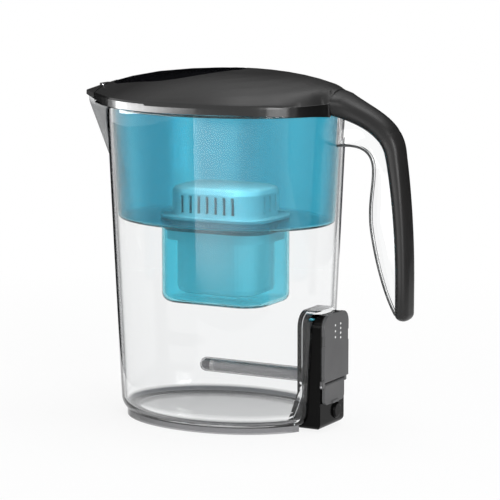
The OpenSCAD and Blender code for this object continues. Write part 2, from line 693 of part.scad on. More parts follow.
module lamp_housing() {
    color([0.03, 0.03, 0.035])
    difference() {
        intersection() {
            pod_block(-fit, pod_back_x, pod_foot_z);
            heel();
        }
        pod_block(-fit - pod_wall, pod_back_x - pod_wall, pod_foot_z + pod_wall);
        intersection() {
            pod_block(-fit - pod_wall, far, 0);
            beyond(pod_in + 4, open_low);
        }
        pin_x(pod_in - 10, pod_in + 5, sleeve_r + fit, 0, lamp_z);
        pin_x(pod_back_x - 5, far, button_r + button_play, button_y, button_z);
        port_slot(fit, pod_back_x - 5, far);
    }
}

module housing_gasket() {
    color([0.3, 0.3, 0.31])
    intersection() {
        difference() {
            pod_block(-fit - 0.3, cover_in, 0);
            intersection() {
                pod_block(-fit - pod_wall + 0.1, far, 0);
                beyond(0, open_low - 0.2);
            }
        }
        translate([pod_back_x, -far / 2, cover_low + 0.4]) cube([gasket_t, far, far]);
    }
}

module lamp_cover() {
    color([0.23, 0.23, 0.24])
    difference() {
        union() {
            intersection() {
                pod_block(0, pod_out, 0);
                beyond(cover_in, cover_low);
            }
            // Four tongues reach into the housing's open back.
            for (s = [-1, 1], z = tongue_z)
                translate([cover_in - 6, s * (pod_w / 2 - fit - pod_wall - 0.8) - tongue_t / 2, z])
                    cube([7, tongue_t, tongue_l]);
            for (s = [-1, 1])
                translate([0, s * (door_w / 2 + ear_gap + 1.7) + door_y, 0]) {
                    pin_y(door_hinge_x, door_hinge_z, door_hinge_r, 3.4);
                    translate([cover_in, -1.7, door_hinge_z]) cube([cover_t, 3.4, 4]);
                }
        }
        for (s = [-1, 1])
            translate([cover_in - 1, s * pod_w / 2 - notch / 2, notch_z])
                cube([cover_t + 2, notch, notch_l]);
        pin_y(door_hinge_x, door_hinge_z, door_pin_r + pin_play, 60);
        for (p = lights) pin_x(cover_in - 1, far, light_r, p[0], p[1], $fn = 24);
    }
}

module port_door() {
    color([0.2, 0.2, 0.21])
    difference() {
        union() {
            pin_y(door_hinge_x, door_hinge_z, door_hinge_r, door_w, door_y);
            intersection() {
                translate([cover_in, door_y - door_w / 2, 0]) cube([cover_t, door_w, door_hinge_z]);
                translate([0, door_y, door_low + 20]) along_x(0, far) rounded(door_w, 40, 4);
            }
            translate([pod_out - 1, door_y - 5, door_low]) cube([2, 10, 1.6]);
        }
        pin_y(door_hinge_x, door_hinge_z, door_pin_r + pin_play, 60);
    }
}

module door_hinge_pin() {
    color([0.7, 0.7, 0.72])
        pin_y(door_hinge_x, door_hinge_z, door_pin_r, door_w + 2 * ear_gap + 6.8, door_y);
}

button_foot = pod_back_x - pod_wall - 0.8;    // inner face of the button's flange
button_in = board_x + board_t + button_travel + 0.15;    // clears the board when pressed
module power_button() {
    color([0.02, 0.02, 0.02])
    translate([0, button_y, button_z]) rotate([0, 90, 0]) difference() {
        rotate_extrude() polygon(concat(
            [[0, button_in], [button_r + 1.5, button_in],
             [button_r + 1.5, button_foot + 0.4], [button_r, button_foot + 0.4]],
            arc_points(button_r - 1.5, pod_back_x + button_proud - 1.5, 1.5, 0, 90, 6),
            [[0, pod_back_x + button_proud]]));
        translate([0, 0, 0]) cylinder(r = 3, h = pod_back_x - 0.4);
    }
}

spring_r = 2;
spring_wire = 0.35;
spring_x = board_x + board_t + spring_wire;
spring_turns = 3;
module button_spring() {
    n = 10 * spring_turns;
    len = pod_back_x - 0.4 - 2 * spring_wire - spring_x + spring_wire;
    color([0.75, 0.75, 0.77])
    loft([for (i = [0:n]) let (a = 36 * i, x = spring_x + len * i / n)
        [for (k = [0:5]) let (b = 60 * k, r = spring_r + spring_wire * cos(b))
            [x + spring_wire * sin(b), button_y + r * cos(a), button_z + r * sin(a)]]]);
}

module indicator_lights() {
    color([0.95, 0.95, 0.95])
    for (p = lights) pin_x(board_x + board_t, pod_out + 0.05, light_r - 0.05, p[0], p[1], $fn = 24);
}

module circuit_board() {
    color([0.05, 0.3, 0.15])
    difference() {
        union() {
            translate([board_x, -board_w / 2, board_low]) cube([board_t, board_w, board_high - board_low]);
            for (c = chips) translate([board_x + board_t, c[0], c[1]]) cube([c[4], c[2], c[3]]);
        }
        for (s = [-1, 1], z = [board_low + 4, board_high - 4])
            pin_x(board_x - 1, far, 1.2, s * (board_w / 2 - 3), z, $fn = 32);
    }
}

module battery_cell() {
    color([0.55, 0.57, 0.6])
    translate([0, 0, battery_z]) along_x(pod_in + fit + pod_wall + 0.3, board_x - 0.3)
        rounded(battery_w, battery_h, 3);
}

module charge_port() {
    color([0.7, 0.7, 0.72])
    difference() {
        port_slot(0, board_x + board_t, pod_back_x - 0.2);
        difference() {
            port_slot(-0.4, board_x + board_t + 2, far);
            translate([0, door_y - 3.2, port_z - 0.35]) cube([pod_back_x - 1.2, 6.4, 0.7]);
        }
    }
}

sleeve_t = 1;
tube_r = sleeve_r - sleeve_t - 0.5;
tube_end = -lamp_reach + 10;                  // where the glass tube meets its tip cap
lamp_base = board_x - 0.5;                    // end of the lamp inside the housing

module lamp_sleeve() {
    color([0.75, 0.78, 0.82, 0.4])
    translate([0, 0, lamp_z]) rotate([0, 90, 0]) rotate_extrude() difference() {
        union() {
            translate([0, sleeve_r - lamp_reach]) square([sleeve_r, lamp_base + lamp_reach - sleeve_r - 1]);
            translate([0, sleeve_r - lamp_reach]) intersection() {
                circle(sleeve_r);
                square([sleeve_r, 2 * sleeve_r], center = false);
            }
            intersection() {
                translate([0, sleeve_r - lamp_reach]) circle(sleeve_r);
                translate([0, -lamp_reach]) square([sleeve_r, sleeve_r]);
            }
        }
        translate([0, sleeve_r - lamp_reach]) square([sleeve_r - sleeve_t, far]);
        intersection() {
            translate([0, sleeve_r - lamp_reach]) circle(sleeve_r - sleeve_t);
            translate([0, -lamp_reach]) square([sleeve_r, sleeve_r]);
        }
    }
}

module lamp_tube() {
    color([0.9, 0.92, 0.98])
    union() {
        pin_x(tube_end, lamp_base - 8, tube_r, 0, lamp_z);
        pin_x(lamp_base - 8, lamp_base, tube_r + 0.3, 0, lamp_z);
        for (s = [-1, 1]) pin_x(lamp_base, lamp_base + 0.4, 0.5, 2 * s, lamp_z, $fn = 24);
    }
}

module lamp_tip_cap() {
    color([0.55, 0.56, 0.58])
    difference() {
        union() {
            pin_x(sleeve_r - lamp_reach - 0.5, tube_end + 3, tube_r + 0.4, 0, lamp_z);
            pin_x(sleeve_r - lamp_reach - 3, sleeve_r - lamp_reach, tube_r / 2 + 0.8, 0, lamp_z);
        }
        pin_x(tube_end, tube_end + 4, tube_r, 0, lamp_z);
    }
}

gland_face = pod_in - jug_wall;               // water side of the recess
gland_r = gland_hole_r + 1.6;
module lamp_gland() {
    color([0.12, 0.12, 0.13])
    difference() {
        union() {
            pin_x(gland_face - 5, gland_face - 0.8, gland_r, 0, lamp_z);
            pin_x(gland_face - 7, gland_face - 5, gland_r - 1.8, 0, lamp_z);
            pin_x(gland_face - 1, pod_in, gland_hole_r - 0.1, 0, lamp_z);
        }
        pin_x(gland_face - 8, pod_in + 1, sleeve_r + 0.05, 0, lamp_z);
        for (k = [0:7]) translate([0, 0, lamp_z]) rotate([45 * k, 0, 0])
            translate([gland_face - 3.4, 0, gland_r + 0.9]) cube([3.4, 2.4, 3], center = true);
    }
}

module gland_seal() {
    color([0.35, 0.35, 0.36])
    difference() {
        pin_x(gland_face - 0.8, gland_face, gland_r - 0.2, 0, lamp_z);
        pin_x(gland_face - 1, gland_face + 1, gland_hole_r, 0, lamp_z);
    }
}

jug_body();
foot_ring();
handle_cover();
hopper();
cartridge_shell();
cartridge_cap();
cartridge_seal();
filter_media();
outlet_screen();
lid_shell();
fill_flap();
flap_hinge_pin();
pour_flap();
pour_flap_pin();
lamp_housing();
housing_gasket();
lamp_cover();
lamp_sleeve();
lamp_tube();
lamp_tip_cap();
lamp_gland();
gland_seal();
circuit_board();
battery_cell();
power_button();
button_spring();
indicator_lights();
charge_port();
port_door();
door_hinge_pin();
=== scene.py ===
"""Looks of the water filter pitcher: clear jug, blue hopper, black flip lid and lamp unit."""

import json
import math

import bmesh
import bpy
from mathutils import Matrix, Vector

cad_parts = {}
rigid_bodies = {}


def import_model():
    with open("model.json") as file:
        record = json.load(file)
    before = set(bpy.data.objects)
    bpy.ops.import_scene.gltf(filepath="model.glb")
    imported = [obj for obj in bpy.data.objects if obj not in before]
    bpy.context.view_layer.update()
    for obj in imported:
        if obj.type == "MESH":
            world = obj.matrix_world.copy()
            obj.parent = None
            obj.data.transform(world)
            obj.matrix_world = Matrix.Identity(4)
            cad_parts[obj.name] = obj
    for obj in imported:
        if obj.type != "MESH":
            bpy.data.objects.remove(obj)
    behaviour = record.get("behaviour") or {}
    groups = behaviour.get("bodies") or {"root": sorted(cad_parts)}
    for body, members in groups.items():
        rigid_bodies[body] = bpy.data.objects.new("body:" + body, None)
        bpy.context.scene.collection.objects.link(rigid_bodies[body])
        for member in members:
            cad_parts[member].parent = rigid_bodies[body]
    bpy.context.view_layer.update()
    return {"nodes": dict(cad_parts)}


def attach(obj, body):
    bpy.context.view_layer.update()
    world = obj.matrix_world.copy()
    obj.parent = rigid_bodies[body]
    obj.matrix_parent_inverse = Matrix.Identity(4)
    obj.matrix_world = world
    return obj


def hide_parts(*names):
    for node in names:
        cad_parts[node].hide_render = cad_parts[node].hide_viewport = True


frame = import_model()

bl_info = {
    "name": "Water filter pitcher",
    "version": (1, 0, 0),
    "blender": (4, 5, 0),
    "location": "3D View > Sidebar > Pitcher",
    "description": "Builds the looks of a water filter pitcher around its packed CAD frame",
    "category": "Object",
}

MM = 0.001

# The camera stands where the photograph was taken from, found by fitting the jug's outline.
CAMERA_AT = Vector((908.9, -1652.3, 421.9)) * MM
CAMERA_AZIMUTH = math.radians(28.26)
CAMERA_DOWN = math.radians(8.85)
PHOTO_SIZE = 500
FOCAL_PIXELS = 2519

SENSOR_WIDTH = 36.0
CAMERA_FAR_CLIP = 60.0

PLAN = 144 / 190          # width over length of the jug's ovals
WELD = 0.001              # distance under which two corners of a new piece are one
CAD_WELD = 0.002          # the same for a copy of a CAD node


# ---- small tools ----------------------------------------------------------------------


def only(piece):
    """Makes one object the only selected and active one."""
    bpy.ops.object.select_all(action="DESELECT")
    piece.select_set(True)
    bpy.context.view_layer.objects.active = piece


def finish_modifiers(piece):
    """Applies what is still live on a piece."""
    only(piece)
    for modifier in list(piece.modifiers):
        bpy.ops.object.modifier_apply(modifier=modifier.name)


def place_in_mesh(piece):
    """Puts the object's place into its mesh, so that the object sits at the origin."""
    only(piece)
    bpy.ops.object.transform_apply(location=True, rotation=True, scale=True)


def copy_of(node, name):
    """A merged copy of a CAD node that is finished further and then stands for it."""
    piece = bpy.data.objects.new(name, frame["nodes"][node].data.copy())
    bpy.context.scene.collection.objects.link(piece)
    only(piece)
    bpy.ops.object.mode_set(mode="EDIT")
    bpy.ops.mesh.select_all(action="SELECT")
    bpy.ops.mesh.customdata_custom_splitnormals_clear()
    bpy.ops.mesh.remove_doubles(threshold=CAD_WELD * MM)
    bpy.ops.object.mode_set(mode="OBJECT")
    return piece


def solid_of_rings(name, rings):
    """A closed solid, extruded ring by ring; all rings have equally many points, in millimetres."""
    bpy.ops.object.select_all(action="DESELECT")
    bpy.ops.mesh.primitive_circle_add(vertices=len(rings[0]), radius=1.0, fill_type="NGON")
    piece = bpy.context.object
    piece.name = piece.data.name = name
    corners = sorted(piece.data.vertices, key=lambda v: math.atan2(-v.co.x, v.co.y) % math.tau)
    for vertex, point in zip(corners, rings[0]):
        vertex.co = Vector(point) * MM
    order = {tuple(vertex.co): i for i, vertex in enumerate(corners)}
    bpy.ops.object.mode_set(mode="EDIT")
    for ring in rings[1:]:
        bpy.ops.mesh.extrude_region_move()
        shape = bmesh.from_edit_mesh(piece.data)
        moved = {}
        for vertex in shape.verts:
            if vertex.select:
                i = order[tuple(vertex.co)]
                vertex.co = Vector(ring[i]) * MM
                moved[tuple(vertex.co)] = i
        order = moved
        bmesh.update_edit_mesh(piece.data)
    bpy.ops.mesh.select_all(action="SELECT")
    bpy.ops.mesh.normals_make_consistent(inside=False)
    bpy.ops.object.mode_set(mode="OBJECT")
    return piece


def prism(name, outline, low, high, axis):
    """An outline drawn in two directions and extruded along the third one."""
    order = {"x": (2, 0, 1), "y": (0, 2, 1), "z": (0, 1, 2)}[axis]
    rings = []
    for c in (low, high):
        rings.append([tuple((a, b, c)[k] for k in order) for a, b in outline])
    return solid_of_rings(name, rings)


def combine(piece, other, operation):
    """Joins, cuts or crosses one solid with another, and uses the other one up."""
    change = piece.modifiers.new(operation, "BOOLEAN")
    change.operation = operation
    change.solver = "EXACT"
    change.object = other
    finish_modifiers(piece)
    bpy.data.objects.remove(other, do_unlink=True)
    return piece


def round_edges(piece, width):
    """Rounds the edges where two faces meet at more than 50 degrees."""
    bevel = piece.modifiers.new("Round edges", "BEVEL")
    bevel.width = width * MM
    bevel.segments = 3
    bevel.limit_method = "ANGLE"
    bevel.angle_limit = math.radians(50)
    finish_modifiers(piece)


def smooth(piece, angle):
    """Shades a piece smooth, apart from edges that are sharper than the angle in degrees."""
    only(piece)
    bpy.ops.object.mode_set(mode="EDIT")
    bpy.ops.mesh.select_all(action="SELECT")
    bpy.ops.mesh.remove_doubles(threshold=WELD * MM)
    bpy.ops.object.mode_set(mode="OBJECT")
    bpy.ops.object.shade_smooth_by_angle(angle=math.radians(angle))


def dress(piece, material, slot, body, *nodes):
    """Gives a piece its material and its place in the frame."""
    piece.data.materials.clear()
    piece.data.materials.append(material)
    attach(piece, body)
    if nodes:
        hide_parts(*nodes)


def paint_node(node, material):
    """A CAD node whose shape is right keeps its mesh and takes a better material."""
    for slot in frame["nodes"][node].material_slots:
        slot.material = material


# ---- shader groups --------------------------------------------------------------------


class Shader:
    """A node tree that is built from left to right with few words."""

    def __init__(self, tree):
        self.tree = tree

    def add(self, kind, **inputs):
        made = self.tree.nodes.new(kind)
        for name, value in inputs.items():
            name = name.replace("_", " ")
            if name in made.inputs:
                self.feed(made.inputs[name], value)
            else:
                setattr(made, name.replace(" ", "_"), value)
        return made

    def feed(self, socket, value):
        if isinstance(value, bpy.types.NodeSocket):
            self.tree.links.new(value, socket)
        else:
            socket.default_value = value

    def math(self, operation, a, b=0.0, c=0.0):
        made = self.tree.nodes.new("ShaderNodeMath")
        made.operation = operation
        for socket, value in zip(made.inputs, (a, b, c)):
            self.feed(socket, value)
        return made.outputs[0]

    def ramp(self, factor, *stops):
        made = self.tree.nodes.new("ShaderNodeValToRGB")
        while len(made.color_ramp.elements) < len(stops):
            made.color_ramp.elements.new(0.5)
        for element, (position, colour) in zip(made.color_ramp.elements, stops):
            element.position = position
            element.color = (*colour, 1.0)
        self.feed(made.inputs["Fac"], factor)
        return made.outputs["Color"]

    def mix(self, factor, a, b):
        made = self.tree.nodes.new("ShaderNodeMix")
        made.data_type = "RGBA"
        self.feed(made.inputs["Factor"], factor)
        self.feed(made.inputs[6], a)
        self.feed(made.inputs[7], b)
        return made.outputs[2]

    def group(self, name, **inputs):
        made = self.tree.nodes.new("ShaderNodeGroup")
        made.node_tree = bpy.data.node_groups[name]
        for key, value in inputs.items():
            self.feed(made.inputs[key.replace("_", " ")], value)
        return made


def new_group(name, inputs, outputs):
    """An empty shader group with its named inputs and outputs, to be filled in between."""
    tree = bpy.data.node_groups.new(name, "ShaderNodeTree")
    for label, value in inputs.items():
        kind = "NodeSocketColor" if isinstance(value, tuple) else "NodeSocketFloat"
        tree.interface.new_socket(label, in_out="INPUT", socket_type=kind).default_value = value
    for label, kind in outputs.items():
        tree.interface.new_socket(label, in_out="OUTPUT", socket_type="NodeSocket" + kind)
    shader = Shader(tree)
    enter = tree.nodes.new("NodeGroupInput")
    leave = tree.nodes.new("NodeGroupOutput")
    return shader, enter.outputs, leave.inputs


def build_groups():
    """Effects for the finishes: moulded grain, handling marks, colour drift and a painted shade for
    the corner of the jug's floor.
    """
    s, get, put = new_group(
        "Moulded grain",
        {"Size mm": 0.4},
        {"Height": "Float"},
    )
    place = s.add("ShaderNodeTexCoord").outputs["Object"]
    scale = s.math("DIVIDE", 1000.0, get["Size mm"])
    fine = s.add("ShaderNodeTexNoise", Vector=place, Scale=scale, Detail=3.0, Roughness=0.6)
    pits = s.add("ShaderNodeTexVoronoi", Vector=place, Scale=scale)
    shallow = s.math("MULTIPLY", pits.outputs["Distance"], 0.5)
    s.feed(put["Height"], s.math("ADD", fine.outputs["Fac"], shallow))

    s, get, put = new_group(
        "Handling marks",
        {"Low": 0.2, "High": 0.3, "Size mm": 30.0},
        {"Roughness": "Float"},
    )
    place = s.add("ShaderNodeTexCoord").outputs["Object"]
    scale = s.math("DIVIDE", 1000.0, get["Size mm"])
    broad = s.add("ShaderNodeTexNoise", Vector=place, Scale=scale, Detail=4.0, Distortion=0.6)
    mask = s.add("ShaderNodeMapRange", Value=broad.outputs["Fac"], From_Min=0.35, From_Max=0.7)
    span = s.math("SUBTRACT", get["High"], get["Low"])
    s.feed(put["Roughness"], s.math("MULTIPLY_ADD", mask.outputs[0], span, get["Low"]))

    s, get, put = new_group(
        "Colour drift",
        {"Colour": (0.5, 0.5, 0.5, 1.0), "Other": (0.4, 0.4, 0.4, 1.0), "Size mm": 60.0},
        {"Colour": "Color"},
    )
    place = s.add("ShaderNodeTexCoord").outputs["Object"]
    scale = s.math("DIVIDE", 1000.0, get["Size mm"])
    cloud = s.add("ShaderNodeTexNoise", Vector=place, Scale=scale, Detail=2.0)
    s.feed(put["Colour"], s.mix(cloud.outputs["Fac"], get["Colour"], get["Other"]))

    # Painted shade: a mask that darkens the clear jug in the corner between its wall and floor, where
    # the clear plastic looks dark.
    s, get, put = new_group(
        "Painted corner shade",
        {"Low": 7.4, "High": 11.0, "Inner": 74.0, "Outer": 81.0},
        {"Mask": "Float"},
    )
    soft_edge, floor_underside = 2.0, 6.5
    place = s.add("ShaderNodeTexCoord").outputs["Object"]
    place = s.add("ShaderNodeSeparateXYZ", Vector=place).outputs
    across = s.math("DIVIDE", place["Y"], PLAN)
    square_x = s.math("MULTIPLY", place["X"], place["X"])
    square = s.math("ADD", square_x, s.math("MULTIPLY", across, across))
    reach_mm = s.math("MULTIPLY", s.math("SQRT", square), 1000.0)
    height_mm = s.math("MULTIPLY", place["Z"], 1000.0)
    span = s.math("SUBTRACT", get["High"], get["Low"])
    below = s.math("DIVIDE", s.math("SUBTRACT", get["High"], height_mm), span)
    past = s.math("DIVIDE", s.math("SUBTRACT", reach_mm, get["Inner"]), soft_edge)
    near = s.math("LESS_THAN", reach_mm, get["Outer"])
    inside = s.math("MULTIPLY", near, s.math("GREATER_THAN", height_mm, floor_underside))
    below = s.math("MAXIMUM", s.math("MINIMUM", below, 1.0), 0.0)
    past = s.math("MAXIMUM", s.math("MINIMUM", past, 1.0), 0.0)
    s.feed(put["Mask"], s.math("MULTIPLY", s.math("MULTIPLY", below, past), inside))


# ---- finishes -------------------------------------------------------------------------


def bare_material(name):
    """A material with an empty tree, and the tree's builder."""
    material = bpy.data.materials.new(name)
    material.use_nodes = True
    material.node_tree.nodes.clear()
    return material, Shader(material.node_tree)


def new_finish(name):
    """A material with its surface shader, the tree's builder and the shader's sockets."""
    material, s = bare_material(name)
    surface = s.add("ShaderNodeBsdfPrincipled")
    out = s.add("ShaderNodeOutputMaterial")
    material.node_tree.links.new(surface.outputs[0], out.inputs["Surface"])
    return material, s, surface.inputs


def plastic(name, colour, other, low, high, grain_mm=0.5, bump=0.02, shine=0.5, ior=1.5):
    """Opaque moulded plastic or rubber with grain, colour drift and handling marks."""
    material, s, into = new_finish(name)
    tint = s.group("Colour drift", Colour=(*colour, 1.0), Other=(*other, 1.0))
    marks = s.group("Handling marks", Low=low, High=high)
    grain = s.group("Moulded grain", Size_mm=grain_mm)
    s.feed(into["Base Color"], tint.outputs["Colour"])
    s.feed(into["Roughness"], marks.outputs["Roughness"])
    relief = s.add("ShaderNodeBump", Strength=bump, Distance=0.1 * MM, Height=grain.outputs["Height"])
    s.feed(into["Normal"], relief.outputs[0])
    into["Specular IOR Level"].default_value = shine
    into["IOR"].default_value = ior
    return material


def clear_plastic(name, middle, edge, edge_from, edge_to, low, high, transmission=1.0, ior=1.45,
                  corner=False):
    """See-through plastic, with painted dark edges where it is seen edge on and, if asked, painted
    shade in the corner of the jug's floor.
    """
    material, s, into = new_finish(name)
    # Painted reflection: the colour goes dark where the surface is seen edge on, for the dark
    # reflections along the edges of clear plastic.
    facing = s.add("ShaderNodeLayerWeight", Blend=0.5).outputs["Facing"]
    tint = s.ramp(facing, (edge_from, middle), (edge_to, edge))
    if corner:
        corner_shade = s.group("Painted corner shade", Low=9.5, High=12.0, Inner=74.0, Outer=81.6)
        tint = s.mix(corner_shade.outputs["Mask"], tint, (*edge, 1.0))
    s.feed(into["Base Color"], tint)
    marks = s.group("Handling marks", Low=low, High=high, Size_mm=45.0)
    s.feed(into["Roughness"], marks.outputs["Roughness"])
    into["Transmission Weight"].default_value = transmission
    into["IOR"].default_value = ior
    return material


def metal(name, colour, low, high):
    """Bare metal with fine marks, a little darker in places."""
    material, s, into = new_finish(name)
    marks = s.group("Handling marks", Low=low, High=high, Size_mm=4.0)
    other = tuple(0.85 * c for c in colour)
    tint = s.group("Colour drift", Colour=(*colour, 1.0), Other=(*other, 1.0))
    s.feed(into["Base Color"], tint.outputs["Colour"])
    s.feed(into["Roughness"], marks.outputs["Roughness"])
    into["Metallic"].default_value = 1.0
    return material


def lid_plastic(name, context):
    """The lid's matt black, in the colour that the panel gives."""
    colour = tuple(context.scene.pitcher_colours.lid)
    other = tuple(1.3 * c for c in colour)
    return plastic(name, colour, other, 0.38, 0.46, 0.35, 0.06, shine=0.22)


# ---- sizes and colours that a user would change ---------------------------------------


class PitcherColours(bpy.types.PropertyGroup):
    hopper: bpy.props.FloatVectorProperty(
        name="Hopper blue", description="Tint of the hopper's plastic for one pass of light",
        subtype="COLOR", size=3, min=0.0, max=1.0, default=(0.2, 0.65, 0.78))
    lid: bpy.props.FloatVectorProperty(
        name="Lid black", description="Colour of the lid's matt plastic",
        subtype="COLOR", size=3, min=0.0, max=1.0, default=(0.013, 0.0128, 0.0128))
    cover: bpy.props.FloatVectorProperty(
        name="Cover grey", description="Colour of the lamp unit's outer cover",
        subtype="COLOR", size=3, min=0.0, max=1.0, default=(0.085, 0.085, 0.087))


class PitcherStage(bpy.types.PropertyGroup):
    floor_size: bpy.props.FloatProperty(
        name="Floor", description="Width of the pale floor", default=30.0, unit="LENGTH")
    room_light: bpy.props.FloatProperty(
        name="Room light", description="Light that comes from all round", default=0.55,
        subtype="FACTOR", min=0.0, max=1.0)
    key_light: bpy.props.FloatProperty(
        name="Key light", description="Power of the large soft light", default=30.0,
        unit="POWER")


# ---- stage ----------------------------------------------------------------------------


WHITE = (1.0, 1.0, 1.0, 1.0)
FLOOR_GREY = (0.82, 0.82, 0.82, 1.0)
FLOOR_NEAR, FLOOR_FAR = 0.25, 0.7     # metres over which the floor goes over into plain white
FLOOR_NEAR_WHITE = 0.87               # share of plain white near the jug; the rest keeps its shadow

# Soft lights: name, place, what it faces, width and height (metres), share of the key light.
SOFT_LIGHTS = (
    ("panel_light", (1.75, -1.5, 0.5), (0, 0, 0.12), (0.75, 1.5), 1.0),
    ("top_light", (0.2, 0.1, 1.7), (0, 0, 0.1), (1.0, 1.0), 0.5),
)
# A small light in the hopper's bowl that lights the cartridge and isn't seen itself.
CARTRIDGE_LIGHT_AT = (0.03, -0.044, 0.224)
CARTRIDGE_LIGHT_TOWARDS = (0, 0, 0.165)
CARTRIDGE_LIGHT_SIZE = (0.04, 0.04)
CARTRIDGE_LIGHT_WATTS = 0.055

# Cards round the jug that only its reflections show: name, two ends (metres beside the view
# and ahead of the jug), lower and upper edge, the brightness at both ends, and the share of the
# height over which the card fades in from below.
REFLECTION_CARDS = (
    ("left_card", ((-0.16, -0.197), (-0.16, 1.6), 0.001, 0.212), (0.0, 0.0), 0.0),
    ("band_card", ((-0.161, -0.21), (-0.161, 0.03), 0.2215, 0.238), (7.0, 18.0), 0.0),
    ("back_card", ((-0.7, 0.75), (0.7, 0.75), 0.001, 0.9), (0.0, 0.0), 0.0),
    ("right_card", ((0.62, 0.75), (0.62, -0.9), 0.001, 0.9), (0.0, 0.0), 0.0),
    ("streak_card", ((-0.28, -0.305), (0.133, -0.409), 0.001, 0.19), (6.0, 0.8), 0.3),
)
FADE_START = 0.06     # share of a fading card's height at which it begins to show
FADE_TOP = 0.9        # share of the height above which it fades out again


def beside_view(side, ahead):
    """A place on the floor, measured to the right of the camera's view and away from the camera."""
    c, a = math.cos(CAMERA_AZIMUTH), math.sin(CAMERA_AZIMUTH)
    return Vector((side * c - ahead * a, side * a + ahead * c, 0.0))


class PITCHER_OT_stage(bpy.types.Operator):
    """Add the floor, the lights and the camera"""

    bl_idname = "pitcher.stage"
    bl_label = "Stage"

    def execute(self, context):
        scene = context.scene
        sizes = scene.pitcher_stage
        scene.view_settings.view_transform = "Standard"
        self.add_world(scene, sizes.room_light)
        self.add_floor(sizes.floor_size)
        for name, at, towards, size, share in SOFT_LIGHTS:
            self.add_soft_light(name, at, towards, size, share * sizes.key_light)
        inner = self.add_soft_light("cartridge_light", CARTRIDGE_LIGHT_AT, CARTRIDGE_LIGHT_TOWARDS,
                                    CARTRIDGE_LIGHT_SIZE, CARTRIDGE_LIGHT_WATTS)
        inner.visible_camera = inner.visible_glossy = inner.visible_transmission = False
        for name, corners, strengths, fade in REFLECTION_CARDS:
            self.add_card(name, corners, strengths, fade)
        self.add_camera(scene)
        return {"FINISHED"}

    def add_world(self, scene, level):
        world = bpy.data.worlds.new("White room")
        world.use_nodes = True
        world.node_tree.nodes.clear()
        s = Shader(world.node_tree)
        strength = s.math("MULTIPLY_ADD", seen_rays(s), 1.0 - level, level)
        back = s.add("ShaderNodeBackground", Color=WHITE, Strength=strength)
        out = s.add("ShaderNodeOutputWorld")
        world.node_tree.links.new(back.outputs[0], out.inputs[0])
        scene.world = world

    def add_floor(self, size):
        bpy.ops.object.select_all(action="DESELECT")
        bpy.ops.mesh.primitive_plane_add(size=size, location=(0, 0, 0))
        floor = bpy.context.object
        floor.name = "stage_floor"
        material, s = bare_material("Pale floor")
        matt = s.add("ShaderNodeBsdfDiffuse", Color=FLOOR_GREY)
        glow = s.add("ShaderNodeEmission", Color=WHITE, Strength=1.0)
        place = s.add("ShaderNodeTexCoord").outputs["Object"]
        away = s.add("ShaderNodeVectorMath", operation="LENGTH")
        s.feed(away.inputs[0], place)
        far = s.add("ShaderNodeMapRange", From_Min=FLOOR_NEAR, From_Max=FLOOR_FAR,
                    To_Min=FLOOR_NEAR_WHITE, To_Max=1.0)
        s.feed(far.inputs["Value"], away.outputs["Value"])
        share = s.math("MULTIPLY", seen_rays(s), far.outputs[0])
        mixed = s.add("ShaderNodeMixShader")
        s.feed(mixed.inputs[0], share)
        s.feed(mixed.inputs[1], matt.outputs[0])
        s.feed(mixed.inputs[2], glow.outputs[0])
        out = s.add("ShaderNodeOutputMaterial")
        s.feed(out.inputs["Surface"], mixed.outputs[0])
        floor.data.materials.append(material)

    def add_card(self, name, corners, strengths, fade):
        """A card that only reflections show; its brightness runs from its first end to its second."""
        (side, ahead), (side2, ahead2), low, high = corners
        bpy.ops.object.select_all(action="DESELECT")
        bpy.ops.mesh.primitive_plane_add(size=2.0, location=(0, 0, 0))
        card = bpy.context.object
        card.name = name
        ends = [beside_view(side, ahead), beside_view(side2, ahead2)]
        for vertex in card.data.vertices:
            at = ends[0] if vertex.co.x < 0 else ends[1]
            vertex.co = (at.x, at.y, low if vertex.co.y < 0 else high)
        material, s = bare_material(name)
        place = s.add("ShaderNodeTexCoord").outputs["UV"]
        place = s.add("ShaderNodeSeparateXYZ", Vector=place).outputs
        level = self.soft_step(s, place["X"], (0.0, 1.0), strengths)
        if fade:
            rise = self.soft_step(s, place["Y"], (FADE_START, FADE_START + fade))
            end = self.soft_step(s, place["Y"], (1.0, FADE_TOP))
            level = s.math("MULTIPLY", level, s.math("MULTIPLY", rise, end))
        glow = s.add("ShaderNodeEmission", Color=WHITE, Strength=level)
        out = s.add("ShaderNodeOutputMaterial")
        s.feed(out.inputs["Surface"], glow.outputs[0])
        card.data.materials.append(material)
        card.visible_camera = card.visible_diffuse = card.visible_transmission = False
        card.visible_shadow = card.visible_volume_scatter = False

    def soft_step(self, s, value, between, to=(0.0, 1.0)):
        return s.add("ShaderNodeMapRange", Value=value, From_Min=between[0], From_Max=between[1],
                     To_Min=to[0], To_Max=to[1], interpolation_type="SMOOTHSTEP").outputs[0]

    def add_soft_light(self, name, at, towards, size, power):
        bpy.ops.object.light_add(type="AREA", location=at)
        light = bpy.context.object
        light.name = name
        light.data.shape = "RECTANGLE"
        light.data.size = size[0]
        light.data.size_y = size[1]
        light.data.energy = power
        light.rotation_euler = (Vector(towards) - Vector(at)).to_track_quat("-Z", "Y").to_euler()
        return light

    def add_camera(self, scene):
        bpy.ops.object.camera_add(location=CAMERA_AT)
        camera = bpy.context.object
        camera.name = "photo_camera"
        camera.rotation_euler = (math.pi / 2 - CAMERA_DOWN, 0.0, CAMERA_AZIMUTH)
        camera.data.sensor_width = SENSOR_WIDTH
        camera.data.lens = FOCAL_PIXELS / PHOTO_SIZE * camera.data.sensor_width
        camera.data.clip_end = CAMERA_FAR_CLIP
        scene.camera = camera


def seen_rays(s):
    """1 for rays that the camera, a reflection or clear plastic sends to the background."""
    rays = s.add("ShaderNodeLightPath").outputs
    seen = s.math("ADD", rays["Is Camera Ray"], rays["Is Glossy Ray"])
    total = s.math("ADD", seen, rays["Is Transmission Ray"])
    return s.math("MINIMUM", total, 1.0)


# ---- sizes in millimetres, and shapes that several pieces share ------------------------


